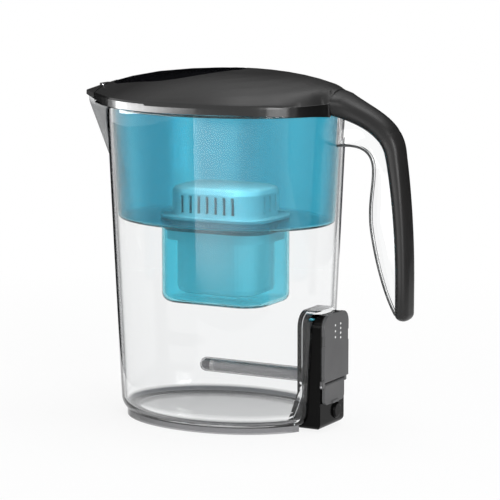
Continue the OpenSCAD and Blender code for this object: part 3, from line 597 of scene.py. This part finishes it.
RIM_Z = 238.0
RIM_R = 95.0
FOOT_R = 84.0             # the wall's radius if it ran down to the table
WALL = 2.6
BASE_Z = 5.0
BASE_R = 80.0             # where the round edge of the base ends below
BASE_ROUND = 12.0
SPOUT_TIP = (116.0, 5.0, 240.5)     # where the tip's round starts: distance, radius, height
SPOUT_SIDE = (74.59, 44.6, 237.0)   # where the spout's sides leave the oval
SPOUT_DISC = 0.8          # radius of the section's other corners
SPOUT_LOW = 170.0
SPOUT_END = 121.0         # how far the tip reaches
LIP_START = 85.6          # distance from the middle past which the rim rises to the spout's tip
LIP_RISE = 3.5
HOPPER_FLOOR = 152.0
HOPPER_TOP_R = 91.2
HOPPER_WALL = 2.0
CUP = (91, 68, 22, 6)     # length, width, corner and lower edge of the hopper's cup
CUP_Z = 90
LID_A = 98.0              # half length of the lid's oval
LID_B = LID_A * PLAN
TAIL_FLARE = 6.5          # how much wider each side of the saddle is where it meets the lid
TAIL_FROM = 55.0          # where the lid's faces are divided for that
ROUNDED_FROM = 60.0       # where its upper edges begin to be rounded
EDGE_Z = 243.5            # above this height they are
GRIP_W, GRIP_T = 10, 5.5  # half the grip's width and thickness at its lower end
SADDLE_W, SADDLE_T = 3, 4   # how much each grows up to the saddle
SHOULDER_AT = 25          # place on the grip's path where its back is fullest
SHOULDER = 3.0            # and how much fuller it is there
GRIP_BACK = 154.4         # how far back the grip may reach
GRIP_SEAM = 24            # place on the grip's path where the saddle ends and the grip begins
RIB_HALF = 3.25           # half the rib's thickness
RIB_EDGE = 1.7            # thickness of the rib's rounded free edge, a dark strip painted as the shade of the clear edge
HIGHLIGHT_BAND_X = -12.0          # where the lamp's tip cap turns into a white band painted on as a highlight
# The turns, in degrees, of a ring's points: closer together round the spout.
AROUND = ([i * 2.5 for i in range(60)] + [150 + i * 1.5 for i in range(16)]
          + [174 + i * 0.5 for i in range(24)] + [186 + i * 1.5 for i in range(16)]
          + [210 + i * 2.5 for i in range(60)])


def round_outline(x, y, r, steps):
    """A circle's points in the plane."""
    angles = [math.tau * i / steps for i in range(steps)]
    return [(x + r * math.cos(t), y + r * math.sin(t)) for t in angles]


def bezier(a, b, c, d, steps, start=0):
    """Points of a curve in the plane with two ends and two handles."""
    line = []
    for i in range(start, steps + 1):
        t, u = i / steps, 1 - i / steps
        weights = (u * u * u, 3 * u * u * t, 3 * u * t * t, t * t * t)
        line.append(tuple(sum(w * p[k] for w, p in zip(weights, (a, b, c, d))) for k in range(2)))
    return line


def wall_r(z):
    """Half the length of the jug's outer oval at a height."""
    return FOOT_R + (RIM_R - FOOT_R) * z / RIM_Z


# The grip's centre line and the rib's free edge, in the plane y = 0.
GRIP_PATH = (bezier((97, 244.5), (112, 238), (135, 229), (139.5, 211), 30)
             + bezier((139.5, 211), (142.5, 197), (149, 160), (149, 110), 24, 1) + [(149, 92)])
RIB_FREE = (bezier((wall_r(212) + 0.05, 212), (104, 213), (121, 215), (122.8, 199), 21)
            + bezier((122.8, 199), (124, 185), (118, 170), (122.4, 148), 18, 1)
            + bezier((122.4, 148), (125.5, 131), (132, 106), (142, 90), 18, 1))


def beside(path, k, start, end):
    """A line beside a path, k to the left of its way."""
    line = []
    for i in range(start, end + 1):
        a, b = Vector(path[max(0, i - 1)]), Vector(path[min(len(path) - 1, i + 1)])
        d = (b - a).normalized()
        line.append((path[i][0] - k * d.y, path[i][1] + k * d.x))
    return line


RIB_OUTLINE = ([(wall_r(236) + 0.05, 236), (98, 236.5)] + beside(GRIP_PATH, -1, 9, len(GRIP_PATH) - 2)
               + beside(RIB_FREE, RIB_EDGE + 0.05, 0, len(RIB_FREE) - 1)[::-1])


def arc(cx, cz, r, start, end, steps):
    """Points of a part of a circle, between two turns in degrees."""
    angles = [math.radians(start + (end - start) * i / steps) for i in range(steps + 1)]
    return [(cx + r * math.cos(t), cz + r * math.sin(t)) for t in angles]


def oval_ring(r, z):
    """The jug's oval with half length r, as a ring at a height."""
    angles = [math.radians(a) for a in AROUND]
    return [(r * math.cos(t), PLAN * r * math.sin(t), z) for t in angles]


def slab_ring(length, width, corner, z):
    """A rounded rectangle with twelve steps a corner."""
    ring = []
    for way_x, way_y, start in ((1, 1, 0), (-1, 1, 90), (-1, -1, 180), (1, -1, 270)):
        centre = (way_x * (length / 2 - corner), way_y * (width / 2 - corner))
        ring += [(x, y, z) for x, y in arc(*centre, corner, start, start + 90, 12)]
    return ring


def hull(points):
    """The convex outline of points in the plane."""
    points = sorted(set(points))
    sides = []
    for run in (points, points[::-1]):
        side = []
        for p in run:
            while len(side) > 1 and ((side[-1][0] - side[-2][0]) * (p[1] - side[-2][1])
                                     <= (side[-1][1] - side[-2][1]) * (p[0] - side[-2][0])):
                side.pop()
            side.append(p)
        sides += side[:-1]
    return sides


def reach(outline, turn):
    """How far an outline reaches from the middle in one direction."""
    c, s = math.cos(turn), math.sin(turn)
    best = 0.0
    for (x0, y0), (x1, y1) in zip(outline, outline[1:] + outline[:1]):
        a, b = c * y0 - s * x0, c * y1 - s * x1
        if a * b <= 0 and a != b:
            t = a / (a - b)
            best = max(best, c * (x0 + t * (x1 - x0)) + s * (y0 + t * (y1 - y0)))
    return best


def spout_outline(z, inset):
    """The spout's section: a round tip and two flat sides that run back to the oval."""
    low = SPOUT_LOW + 3 * inset
    t = min(1.0, (z - low) / (SPOUT_TIP[2] - low))
    side = min(1.0, (z - low) / (SPOUT_SIDE[2] - low))
    root = wall_r(low) - 1.3 - inset
    tip_r = SPOUT_DISC + (SPOUT_TIP[1] - inset - SPOUT_DISC) * t
    discs = [(-(root + (SPOUT_TIP[0] - root) * t), 0.0, tip_r)]
    for way in (-1, 1):
        depth = SPOUT_SIDE[1] - 1.6 - 1.25 * inset
        discs.append((-(root + (SPOUT_SIDE[0] - root) * side), way * depth * side, SPOUT_DISC))
    rim = []
    for x, y, r in discs:
        rim += round_outline(x, y, r, 60)
    return hull(rim), side


def jug_ring(z, inset, top=False):
    """The jug's section at a height: an oval that grows into the spout near the top."""
    r = wall_r(z) - inset
    ring = oval_ring(r, z)
    if z <= SPOUT_LOW + 3 * inset + 0.5:
        return ring
    outline, side = spout_outline(z, inset)
    blend = min(2.5, max(0.05, 5 * (1 - side)))
    grown = []
    for x, y, z0 in ring:
        turn = math.atan2(y, x)
        plain, spout = math.hypot(x, y), reach(outline, turn)
        near = max(blend - abs(plain - spout), 0.0) / blend
        wide = max(plain, spout) + near * near * blend / 4
        x, y = wide * math.cos(turn), wide * math.sin(turn)
        lift = LIP_RISE * max(0.0, -x - LIP_START) / (SPOUT_END - LIP_START) if top else 0.0
        grown.append((x, y, z0 + lift))
    return grown


# ---- pieces ---------------------------------------------------------------------------


class PITCHER_OT_jug(bpy.types.Operator):
    """Finish the clear jug with its handle rib and the ring under it"""

    bl_idname = "pitcher.jug"
    bl_label = "Jug"

    def execute(self, context):
        # The jug's colour carries painted dark edges and painted shade in the corner of its floor.
        clear = clear_plastic("Clear styrene", (0.955, 0.96, 0.962), (0.02, 0.022, 0.025),
                              0.7, 0.8, 0.0, 0.02, ior=1.33, corner=True)
        jug = self.outside()
        combine(jug, self.lamp_block(0.0), "DIFFERENCE")
        room = self.inside()
        combine(room, self.lamp_block(WALL), "DIFFERENCE")
        combine(jug, room, "DIFFERENCE")
        combine(jug, prism("gland_hole", round_outline(0, 39, 7.5, 48), 60, 80, "x"), "DIFFERENCE")
        smooth(jug, 30)
        dress(jug, clear, "clear_jug", "jug", "jug_body")
        # The rib's colour darkens edge on as a painted reflection.
        rib_clear = clear_plastic("Clear rib", (0.95, 0.955, 0.955), (0.3, 0.31, 0.32),
                                  0.5, 0.95, 0.02, 0.05)
        rib = prism("clear_handle_rib", RIB_OUTLINE, -RIB_HALF, RIB_HALF, "y")
        round_edges(rib, 0.9)
        smooth(rib, 30)
        dress(rib, rib_clear, "clear_jug", "jug", "jug_body")
        # Painted shade: a dark strip along the rib's free edge stands in for how dark the clear edge
        # looks.
        bead = RIB_FREE + beside(RIB_FREE, RIB_EDGE, 0, len(RIB_FREE) - 1)[::-1]
        edge = prism("rib_edge_painted_shade", bead, -2.7, 2.7, "y")
        round_edges(edge, 0.5)
        smooth(edge, 30)
        edge_shade_strip = clear_plastic("Rib edge painted shade", (0.07, 0.075, 0.075), (0.02, 0.02, 0.02),
                                  0.4, 0.9, 0.1, 0.15, transmission=0.4)
        dress(edge, edge_shade_strip, "clear_jug", "jug", "jug_body")
        # Painted shade: the clear foot ring is tinted dark grey for the dark look of the jug's base
        # edge.
        foot = clear_plastic("Foot ring painted shade", (0.3, 0.3, 0.31), (0.006, 0.006, 0.007),
                             0.2, 0.7, 0.1, 0.2, transmission=0.75)
        paint_node("foot_ring", foot)
        return {"FINISHED"}

    def outside(self):
        """The jug's outer shape, from the step that the foot ring sits on up to the rim."""
        rings = [oval_ring(71, 3.5), oval_ring(71, BASE_Z)]
        rings += [oval_ring(BASE_R - 0.8, BASE_Z), oval_ring(BASE_R, BASE_Z + 0.2)]
        centre = wall_r(BASE_ROUND) - BASE_ROUND
        start = -math.degrees(math.acos((BASE_R - centre) / BASE_ROUND))
        low = BASE_Z - BASE_ROUND * math.sin(math.radians(start))
        rings += [oval_ring(r, z) for r, z in arc(centre, low, BASE_ROUND, start, 0, 10)[1:]]
        for z in (30, 50, 80, 110, 140, 160, 168):
            rings.append(jug_ring(z, 0))
        rings += [jug_ring(z, 0) for z in range(171, 236, 2)]
        rings += [jug_ring(236.2, 0), jug_ring(237.3, 0, True), jug_ring(237.8, 0.25, True)]
        rings.append(jug_ring(238.0, 0.8, True))
        return solid_of_rings("clear_jug_wall", rings)

    def inside(self):
        """The room in the jug, which runs out over the rim."""
        corner = wall_r(15) - WALL - 8
        rings = [oval_ring(0.9 * corner, 7.0)]
        rings += [oval_ring(r, z) for r, z in arc(corner, 15, 8, -90, 0, 8)]
        for z in (30, 50, 80, 110, 140, 160, 175):
            rings.append(jug_ring(z, WALL))
        rings += [jug_ring(z, WALL) for z in range(179, 236, 2)]
        rings += [jug_ring(236.2, WALL), jug_ring(237.3, WALL, True)]
        rings += [jug_ring(237.8, WALL - 0.25, True), jug_ring(238.0, WALL - 0.8, True)]
        rings.append([(x, y, z + 6) for x, y, z in rings[-1]])
        return solid_of_rings("jug_room", rings)

    def lamp_block(self, grow):
        """The pocket in the wall that the lamp unit sits in, or that pocket with its own wall."""
        half, r, top = 20 + grow, 9 + grow, 88 + grow
        back = [(-half, -5), (half, -5)]
        back += arc(half - r, top - r, r, 0, 90, 8) + arc(r - half, top - r, r, 90, 180, 8)
        foot, front = 67 - grow, 75 - grow
        side = [(foot, -4), (130, -4), (130, 120), (front, 120), (front, 27 + grow), (foot, 6)]
        block = prism("lamp_block", back, 40, 120, "x")
        return combine(block, prism("lamp_side", side, -60, 60, "y"), "INTERSECT")


class PITCHER_OT_handle(bpy.types.Operator):
    """Finish the black grip cover"""

    bl_idname = "pitcher.handle"
    bl_label = "Grip cover"

    def execute(self, context):
        black = plastic("Grip black", (0.014, 0.014, 0.014), (0.02, 0.019, 0.019),
                        0.3, 0.38, 0.5, 0.03, shine=0.28)
        matt = lid_plastic("Saddle black", context)
        saddle = self.along_path("grip_saddle", 0, GRIP_SEAM, False)
        dress(saddle, matt, "black_grip", "jug", "handle_cover")
        grip = self.along_path("grip_cover", GRIP_SEAM, len(GRIP_PATH) - 1, True)
        dress(grip, black, "black_grip", "jug", "handle_cover")
        return {"FINISHED"}

    def along_path(self, name, start, end, tip):
        """A length of the grip with its slot for the rib; the seam's edges are drawn in a little."""
        rings = [self.section(i) for i in range(start, end + 1)]
        if start:
            rings = [self.section(start, 0.93), self.section(start, 0.98)] + rings[1:]
        else:
            rings = rings[:-1] + [self.section(end, 0.98), self.section(end, 0.93)]
        if tip:
            rings = rings[:-2]
            for a in (0, 15, 30, 45, 60, 72, 83):
                size, beyond = math.cos(math.radians(a)), GRIP_T * math.sin(math.radians(a))
                rings.append(self.section(end, size, beyond))
        piece = solid_of_rings(name, rings)
        foot_x, foot_z = RIB_FREE[-1]
        slot = [(RIM_R, 236.8), (98.3, 236.8)] + beside(GRIP_PATH, -0.7, 9, len(GRIP_PATH) - 2)
        slot += [(foot_x + 0.6, foot_z - 0.3), (RIM_R, foot_z - 0.3)]
        half = RIB_HALF + 0.3
        combine(piece, prism("rib_slot", slot, -half, half, "y"), "DIFFERENCE")
        smooth(piece, 40)
        return piece

    def section(self, i, size=1.0, beyond=0.0):
        """The grip's outline across its path: broad and flat underneath at the lid, slim below."""
        before = Vector(GRIP_PATH[max(0, i - 1)])
        after = Vector(GRIP_PATH[min(len(GRIP_PATH) - 1, i + 1)])
        way = (after - before).normalized() if i else Vector((1.0, 0.0))
        share = max(0.0, 1 - i / 33) ** 1.3
        flare = TAIL_FLARE * math.exp((GRIP_PATH[0][0] - GRIP_PATH[i][0]) / 8)
        half_w = (GRIP_W + SADDLE_W * share + flare) * size
        half_t = (GRIP_T + SADDLE_T * share) * size
        boxy = max(0.0, 1 - i / 14)
        spread = 11 if i < SHOULDER_AT else 18
        shoulder = SHOULDER * math.exp(-((i - SHOULDER_AT) / spread) ** 2) * size
        ring = []
        for c, s in round_outline(0, 0, 1, 48):
            power = 0.8 + (0.2 if c > 0 else -0.25) * boxy
            up = math.copysign(abs(c) ** power, c) * half_t
            across = math.copysign(abs(s) ** power, s) * half_w
            up += shoulder * max(0.0, up / half_t)
            out = min(GRIP_PATH[i][0] - way.y * up + way.x * beyond, GRIP_BACK)
            ring.append((out, across, GRIP_PATH[i][1] + way.x * up + way.y * beyond))
        return ring


class PITCHER_OT_hopper(bpy.types.Operator):
    """Finish the blue hopper"""

    bl_idname = "pitcher.hopper"
    bl_label = "Hopper"

    def execute(self, context):
        tint = tuple(context.scene.pitcher_colours.hopper)
        blue = self.banded_blue("Hopper blue", tint, (0.78, 0.87, 0.88), (1.3, 1.1, 1.07), 0.5)
        # Painted light: the cup is the same blue plastic, given a paler tint so that the white
        # cartridge seen through it looks brightly lit.
        pale = tuple(0.62 * c + share for c, share in zip(tint, (0.16, 0.41, 0.44)))
        lit_cup_blue = self.banded_blue("Cup blue painted lighter", pale, (0.85, 0.96, 0.97), (1.2, 1.03, 1.02), 0.5)
        hopper = self.bowl("blue_hopper_shell", 0.0)
        combine(hopper, self.cup("cup_outside", 0.0), "UNION")
        combine(hopper, self.bowl("bowl_room", HOPPER_WALL), "DIFFERENCE")
        combine(hopper, self.cup("cup_room", HOPPER_WALL), "DIFFERENCE")
        combine(hopper, self.drain_holes(), "DIFFERENCE")
        smooth(hopper, 30)
        dress(hopper, blue, "blue_hopper", "hopper", "hopper")
        hopper.data.materials.append(lit_cup_blue)
        # Faces below the bowl's floor take the cup's painted lighter blue.
        for face in hopper.data.polygons:
            face.material_index = 1 if face.center.z < (HOPPER_FLOOR - 0.5) * MM else 0
        return {"FINISHED"}

    def banded_blue(self, name, tint, darker, lighter, edge):
        """Clear blue with random upright bands of lighter and darker blue, deeper where it is seen
        edge on: partly the longer path through the tint, partly painted shade.
        """
        material, s, into = new_finish(name)
        place = s.add("ShaderNodeMapping", Vector=s.add("ShaderNodeTexCoord").outputs["Object"],
                      Scale=(1.0, 1.0, 0.04))
        noise = s.add("ShaderNodeTexNoise", Vector=place.outputs[0], Scale=32.0, Detail=1.0)
        low = tuple(t * share for t, share in zip(tint, darker))
        high = tuple(t * share for t, share in zip(tint, lighter))
        wash = s.ramp(noise.outputs["Fac"], (0.38, low), (0.62, high))
        # Painted shade: the blue darkens to half where the wall is seen edge on, in part for the
        # darker look of its edges.
        facing = s.add("ShaderNodeLayerWeight", Blend=0.5).outputs["Facing"]
        rim = s.ramp(facing, (0.35, (0.0, 0.0, 0.0)), (0.95, (1.0, 1.0, 1.0)))
        s.feed(into["Base Color"], s.mix(rim, wash, (*(edge * c for c in tint), 1.0)))
        marks = s.group("Handling marks", Low=0.08, High=0.13, Size_mm=45.0)
        s.feed(into["Roughness"], marks.outputs["Roughness"])
        into["Transmission Weight"].default_value = 0.97
        into["IOR"].default_value = 1.2
        return material

    def bowl(self, name, inset):
        """The hopper's bowl and its hanging flange, or the room in it."""
        low, top = HOPPER_FLOOR + inset, HOPPER_TOP_R - inset
        corner, corner_z, corner_r = 82.6, 156, 4 - inset
        rings = [oval_ring(74, low)]
        rings += [oval_ring(r, z) for r, z in arc(corner, corner_z, corner_r, -90, 0, 6)]
        start = corner + corner_r
        for z in range(164, 238, 9):
            rings.append(oval_ring(start + (top - start) * (z - corner_z) / (RIM_Z - corner_z), z))
        rings.append(oval_ring(top, RIM_Z))
        if inset:
            rings.append(oval_ring(top, 250))
        else:
            flange = ((94.2, 238), (94.5, 238.3), (94.5, 239.8), (94.1, 240.2))
            rings += [oval_ring(r, z) for r, z in flange]
        return solid_of_rings(name, rings)

    def cup(self, name, inset):
        """The cup under the bowl, or the room in it."""
        length, width, corner = CUP[0] - 2 * inset, CUP[1] - 2 * inset, CUP[2] - inset
        edge, low = CUP[3] - inset / 2, CUP_Z + inset
        rings = []
        for d, z in arc(edge, low + edge, edge, 270, 180, 6):
            rings.append(slab_ring(length - 2 * d, width - 2 * d, corner - d, z))
        top = HOPPER_FLOOR + (7 if inset else 2)
        rings += [slab_ring(length, width, corner, z) for z in (110, 130, top)]
        return solid_of_rings(name, rings)

    def drain_holes(self):
        """Cutters for the holes in the cup's floor, one modelled and the rest copied."""
        hole = prism("drain_holes", round_outline(0, 0, 2.2, 20), CUP_Z - 2, CUP_Z + 4, "z")
        only(hole)
        for x in range(-20, 21, 10):
            for y in (-10, 0, 10):
                if x or y:
                    bpy.ops.object.duplicate()
                    way = Vector((x, y, 0)) * MM - bpy.context.object.location
                    bpy.ops.transform.translate(value=way)
        bpy.ops.object.select_all(action="DESELECT")
        for piece in bpy.data.objects:
            piece.select_set(piece.name.startswith("drain_holes"))
        bpy.context.view_layer.objects.active = hole
        bpy.ops.object.join()
        place_in_mesh(hole)
        return hole


class PITCHER_OT_cartridge(bpy.types.Operator):
    """Finish the filter cartridge and the rubber seals"""

    bl_idname = "pitcher.cartridge"
    bl_label = "Cartridge and seals"

    def execute(self, context):
        white = plastic("Cartridge white", (0.93, 0.95, 0.96), (0.9, 0.93, 0.95), 0.3, 0.45)
        carbon = plastic("Filter carbon", (0.3, 0.31, 0.32), (0.55, 0.56, 0.57), 0.7, 0.9, 1.5, 0.6)
        rubber = plastic("Seal rubber", (0.2, 0.21, 0.22), (0.24, 0.25, 0.26), 0.5, 0.7)
        for node in ("cartridge_shell", "cartridge_cap", "outlet_screen"):
            paint_node(node, white)
        paint_node("filter_media", carbon)
        for node in ("cartridge_seal", "gland_seal"):
            paint_node(node, rubber)
        dark = plastic("Gasket rubber", (0.012, 0.012, 0.012), (0.02, 0.02, 0.02),
                       0.6, 0.75, 0.6, 0.05, shine=0.2)
        paint_node("housing_gasket", dark)
        return {"FINISHED"}


class PITCHER_OT_lid(bpy.types.Operator):
    """Finish the lid, its flip flap, its pour flap and the small steel pieces"""

    bl_idname = "pitcher.lid"
    bl_label = "Lid and flaps"

    def execute(self, context):
        matt = lid_plastic("Lid black", context)
        gloss = plastic("Gloss black", (0.004, 0.004, 0.005), (0.006, 0.006, 0.007),
                        0.06, 0.12, 0.8, 0.005, shine=0.2)
        steel = metal("Pin steel", (0.6, 0.6, 0.62), 0.2, 0.35)
        for node, name, body, material, slot in (
            ("lid_shell", "lid_dome", "lid", matt, "black_lid"),
            ("fill_flap", "flip_flap_plate", "fill_flap", gloss, "gloss_black"),
            ("pour_flap", "pour_flap_nose", "pour_flap", matt, "black_pour_flap"),
        ):
            piece = copy_of(node, name)
            if node == "lid_shell":
                self.flare_tail(piece)
            only(piece)
            bpy.ops.object.shade_smooth_by_angle(angle=math.radians(28))
            dress(piece, material, slot, body, node)
            if node == "lid_shell":
                self.paint_band(piece)
        for node in ("flap_hinge_pin", "pour_flap_pin", "door_hinge_pin", "button_spring",
                     "charge_port"):
            paint_node(node, steel)
        return {"FINISHED"}

    def paint_band(self, lid):
        """Gives the lid's upright edge its glossier black, apart from the tail's end."""
        band = plastic("Lid band", (0.006, 0.006, 0.006), (0.009, 0.009, 0.009), 0.15, 0.25, 0.6, 0.01)
        lid.data.materials.append(band)
        top, rim = 245.5 * MM, 94.0 * MM
        for face in lid.data.polygons:
            upright = abs(face.normal.z) < 0.55 and face.normal.x < 0.9
            outer = math.hypot(face.center.x, face.center.y / PLAN) > rim
            face.material_index = 1 if upright and outer and face.center.z < top else 0

    def flare_tail(self, lid):
        """Draws the lid's tail out to the saddle's width and rounds its upper edges."""
        only(lid)
        for face in lid.data.polygons:
            face.select = face.center.x > TAIL_FROM * MM
        bpy.ops.object.mode_set(mode="EDIT")
        bpy.ops.mesh.select_mode(type="FACE")
        bpy.ops.mesh.subdivide(number_cuts=3)
        bpy.ops.object.mode_set(mode="OBJECT")
        for vertex in lid.data.vertices:
            x, y, z = vertex.co / MM
            if x < ROUNDED_FROM:
                continue
            sine = math.sqrt(max(0.02, 1 - (x / LID_A) ** 2))
            outline, slope = LID_B * sine, LID_B * x / (LID_A * LID_A * sine)
            drawn = self.drawn_width(x, outline)
            y *= drawn / outline
            inside = (drawn - abs(y)) / math.hypot(1.0, min(slope, 1.2))
            if z > EDGE_Z:
                share = min(1.0, (x - ROUNDED_FROM) / 30)
                z -= min(7.0 * share * share * math.exp(-(inside / 5) ** 2), 0.8 * (z - EDGE_Z))
            vertex.co = Vector((x, y, z)) * MM

    def drawn_width(self, x, outline):
        """Half the lid's width at x: its oval, then a curve that ends at the saddle's width."""
        start, run = 84.0, 12.6
        if x <= start:
            return outline
        t = (x - start) / run
        wide, wide_slope = LID_B * math.sqrt(1 - (start / LID_A) ** 2), -1.262
        saddle, saddle_slope = 13 + TAIL_FLARE, -0.8
        return ((2 * t ** 3 - 3 * t * t + 1) * wide + (t ** 3 - 2 * t * t + t) * run * wide_slope
                + (3 * t * t - 2 * t ** 3) * saddle + (t ** 3 - t * t) * run * saddle_slope)


class PITCHER_OT_lamp_unit(bpy.types.Operator):
    """Finish the lamp unit and the lamp in its clear sleeve"""

    bl_idname = "pitcher.lamp_unit"
    bl_label = "Lamp unit"

    def execute(self, context):
        colour = tuple(context.scene.pitcher_colours.cover)
        grey = plastic("Cover grey", colour, tuple(1.2 * c for c in colour), 0.4, 0.5, 0.4, 0.05, 0.3)
        for node in ("lamp_cover", "port_door"):
            paint_node(node, grey)
        housing = plastic("Housing black", (0.003, 0.003, 0.003), (0.005, 0.005, 0.005),
                          0.1, 0.2, 0.8, 0.01, shine=0.3, ior=1.2)
        for node in ("lamp_housing", "power_button"):
            paint_node(node, housing)
        gland = plastic("Gland black", (0.02, 0.02, 0.022), (0.03, 0.03, 0.032), 0.3, 0.4)
        paint_node("lamp_gland", gland)
        lights = plastic("Light pipes", (0.9, 0.9, 0.9), (0.85, 0.85, 0.85), 0.15, 0.25)
        paint_node("indicator_lights", lights)
        # The sleeve's colour darkens edge on as a painted reflection.
        quartz = clear_plastic("Quartz sleeve", (0.85, 0.85, 0.86), (0.01, 0.01, 0.012),
                               0.25, 0.7, 0.0, 0.02, ior=1.46)
        paint_node("lamp_sleeve", quartz)
        tube = plastic("Lamp tube", (0.62, 0.62, 0.63), (0.5, 0.5, 0.51), 0.2, 0.3)
        paint_node("lamp_tube", tube)
        paint_node("lamp_tip_cap", self.cap_with_painted_highlight("Tip cap with painted highlight"))
        board = plastic("Board green", (0.02, 0.12, 0.05), (0.03, 0.15, 0.06), 0.4, 0.5)
        paint_node("circuit_board", board)
        foil = metal("Battery foil", (0.6, 0.62, 0.65), 0.3, 0.4)
        paint_node("battery_cell", foil)
        return {"FINISHED"}

    def cap_with_painted_highlight(self, name):
        """The grey of the tip cap, with a white band painted on as a highlight where it meets the
        lamp's glass.
        """
        material, s, into = new_finish(name)
        place = s.add("ShaderNodeTexCoord").outputs["Object"]
        place = s.add("ShaderNodeSeparateXYZ", Vector=place).outputs
        # Painted highlight: white past this point, where the cap meets the lamp's glass.
        highlight_band = s.math("GREATER_THAN", place["X"], HIGHLIGHT_BAND_X * MM)
        drift = s.group("Colour drift", Colour=(0.25, 0.25, 0.26, 1.0), Other=(0.2, 0.2, 0.21, 1.0))
        s.feed(into["Base Color"], s.mix(highlight_band, drift.outputs["Colour"], (0.95, 0.95, 0.94, 1.0)))
        marks = s.group("Handling marks", Low=0.25, High=0.4, Size_mm=4.0)
        s.feed(into["Roughness"], marks.outputs["Roughness"])
        return material


class PITCHER_PT_panel(bpy.types.Panel):
    """Lists the pieces in the order in which they are built"""

    bl_label = "Water filter pitcher"
    bl_idname = "PITCHER_PT_panel"
    bl_space_type = "VIEW_3D"
    bl_region_type = "UI"
    bl_category = "Pitcher"

    def draw(self, context):
        for operator in BUILD_ORDER:
            self.layout.operator(operator.bl_idname)


BUILD_ORDER = (
    PITCHER_OT_stage,
    PITCHER_OT_jug,
    PITCHER_OT_handle,
    PITCHER_OT_hopper,
    PITCHER_OT_cartridge,
    PITCHER_OT_lid,
    PITCHER_OT_lamp_unit,
)
CLASSES = (PitcherColours, PitcherStage, *BUILD_ORDER, PITCHER_PT_panel)


def register():
    for cls in CLASSES:
        bpy.utils.register_class(cls)
    bpy.types.Scene.pitcher_colours = bpy.props.PointerProperty(type=PitcherColours)
    bpy.types.Scene.pitcher_stage = bpy.props.PointerProperty(type=PitcherStage)


def unregister():
    del bpy.types.Scene.pitcher_stage
    del bpy.types.Scene.pitcher_colours
    for cls in reversed(CLASSES):
        bpy.utils.unregister_class(cls)


def main():
    """Builds the pitcher's looks."""
    register()
    bpy.ops.object.select_all(action="DESELECT")
    build_groups()
    for operator in BUILD_ORDER:
        group, name = operator.bl_idname.split(".")
        getattr(getattr(bpy.ops, group), name)()


if __name__ == "__main__":
    main()
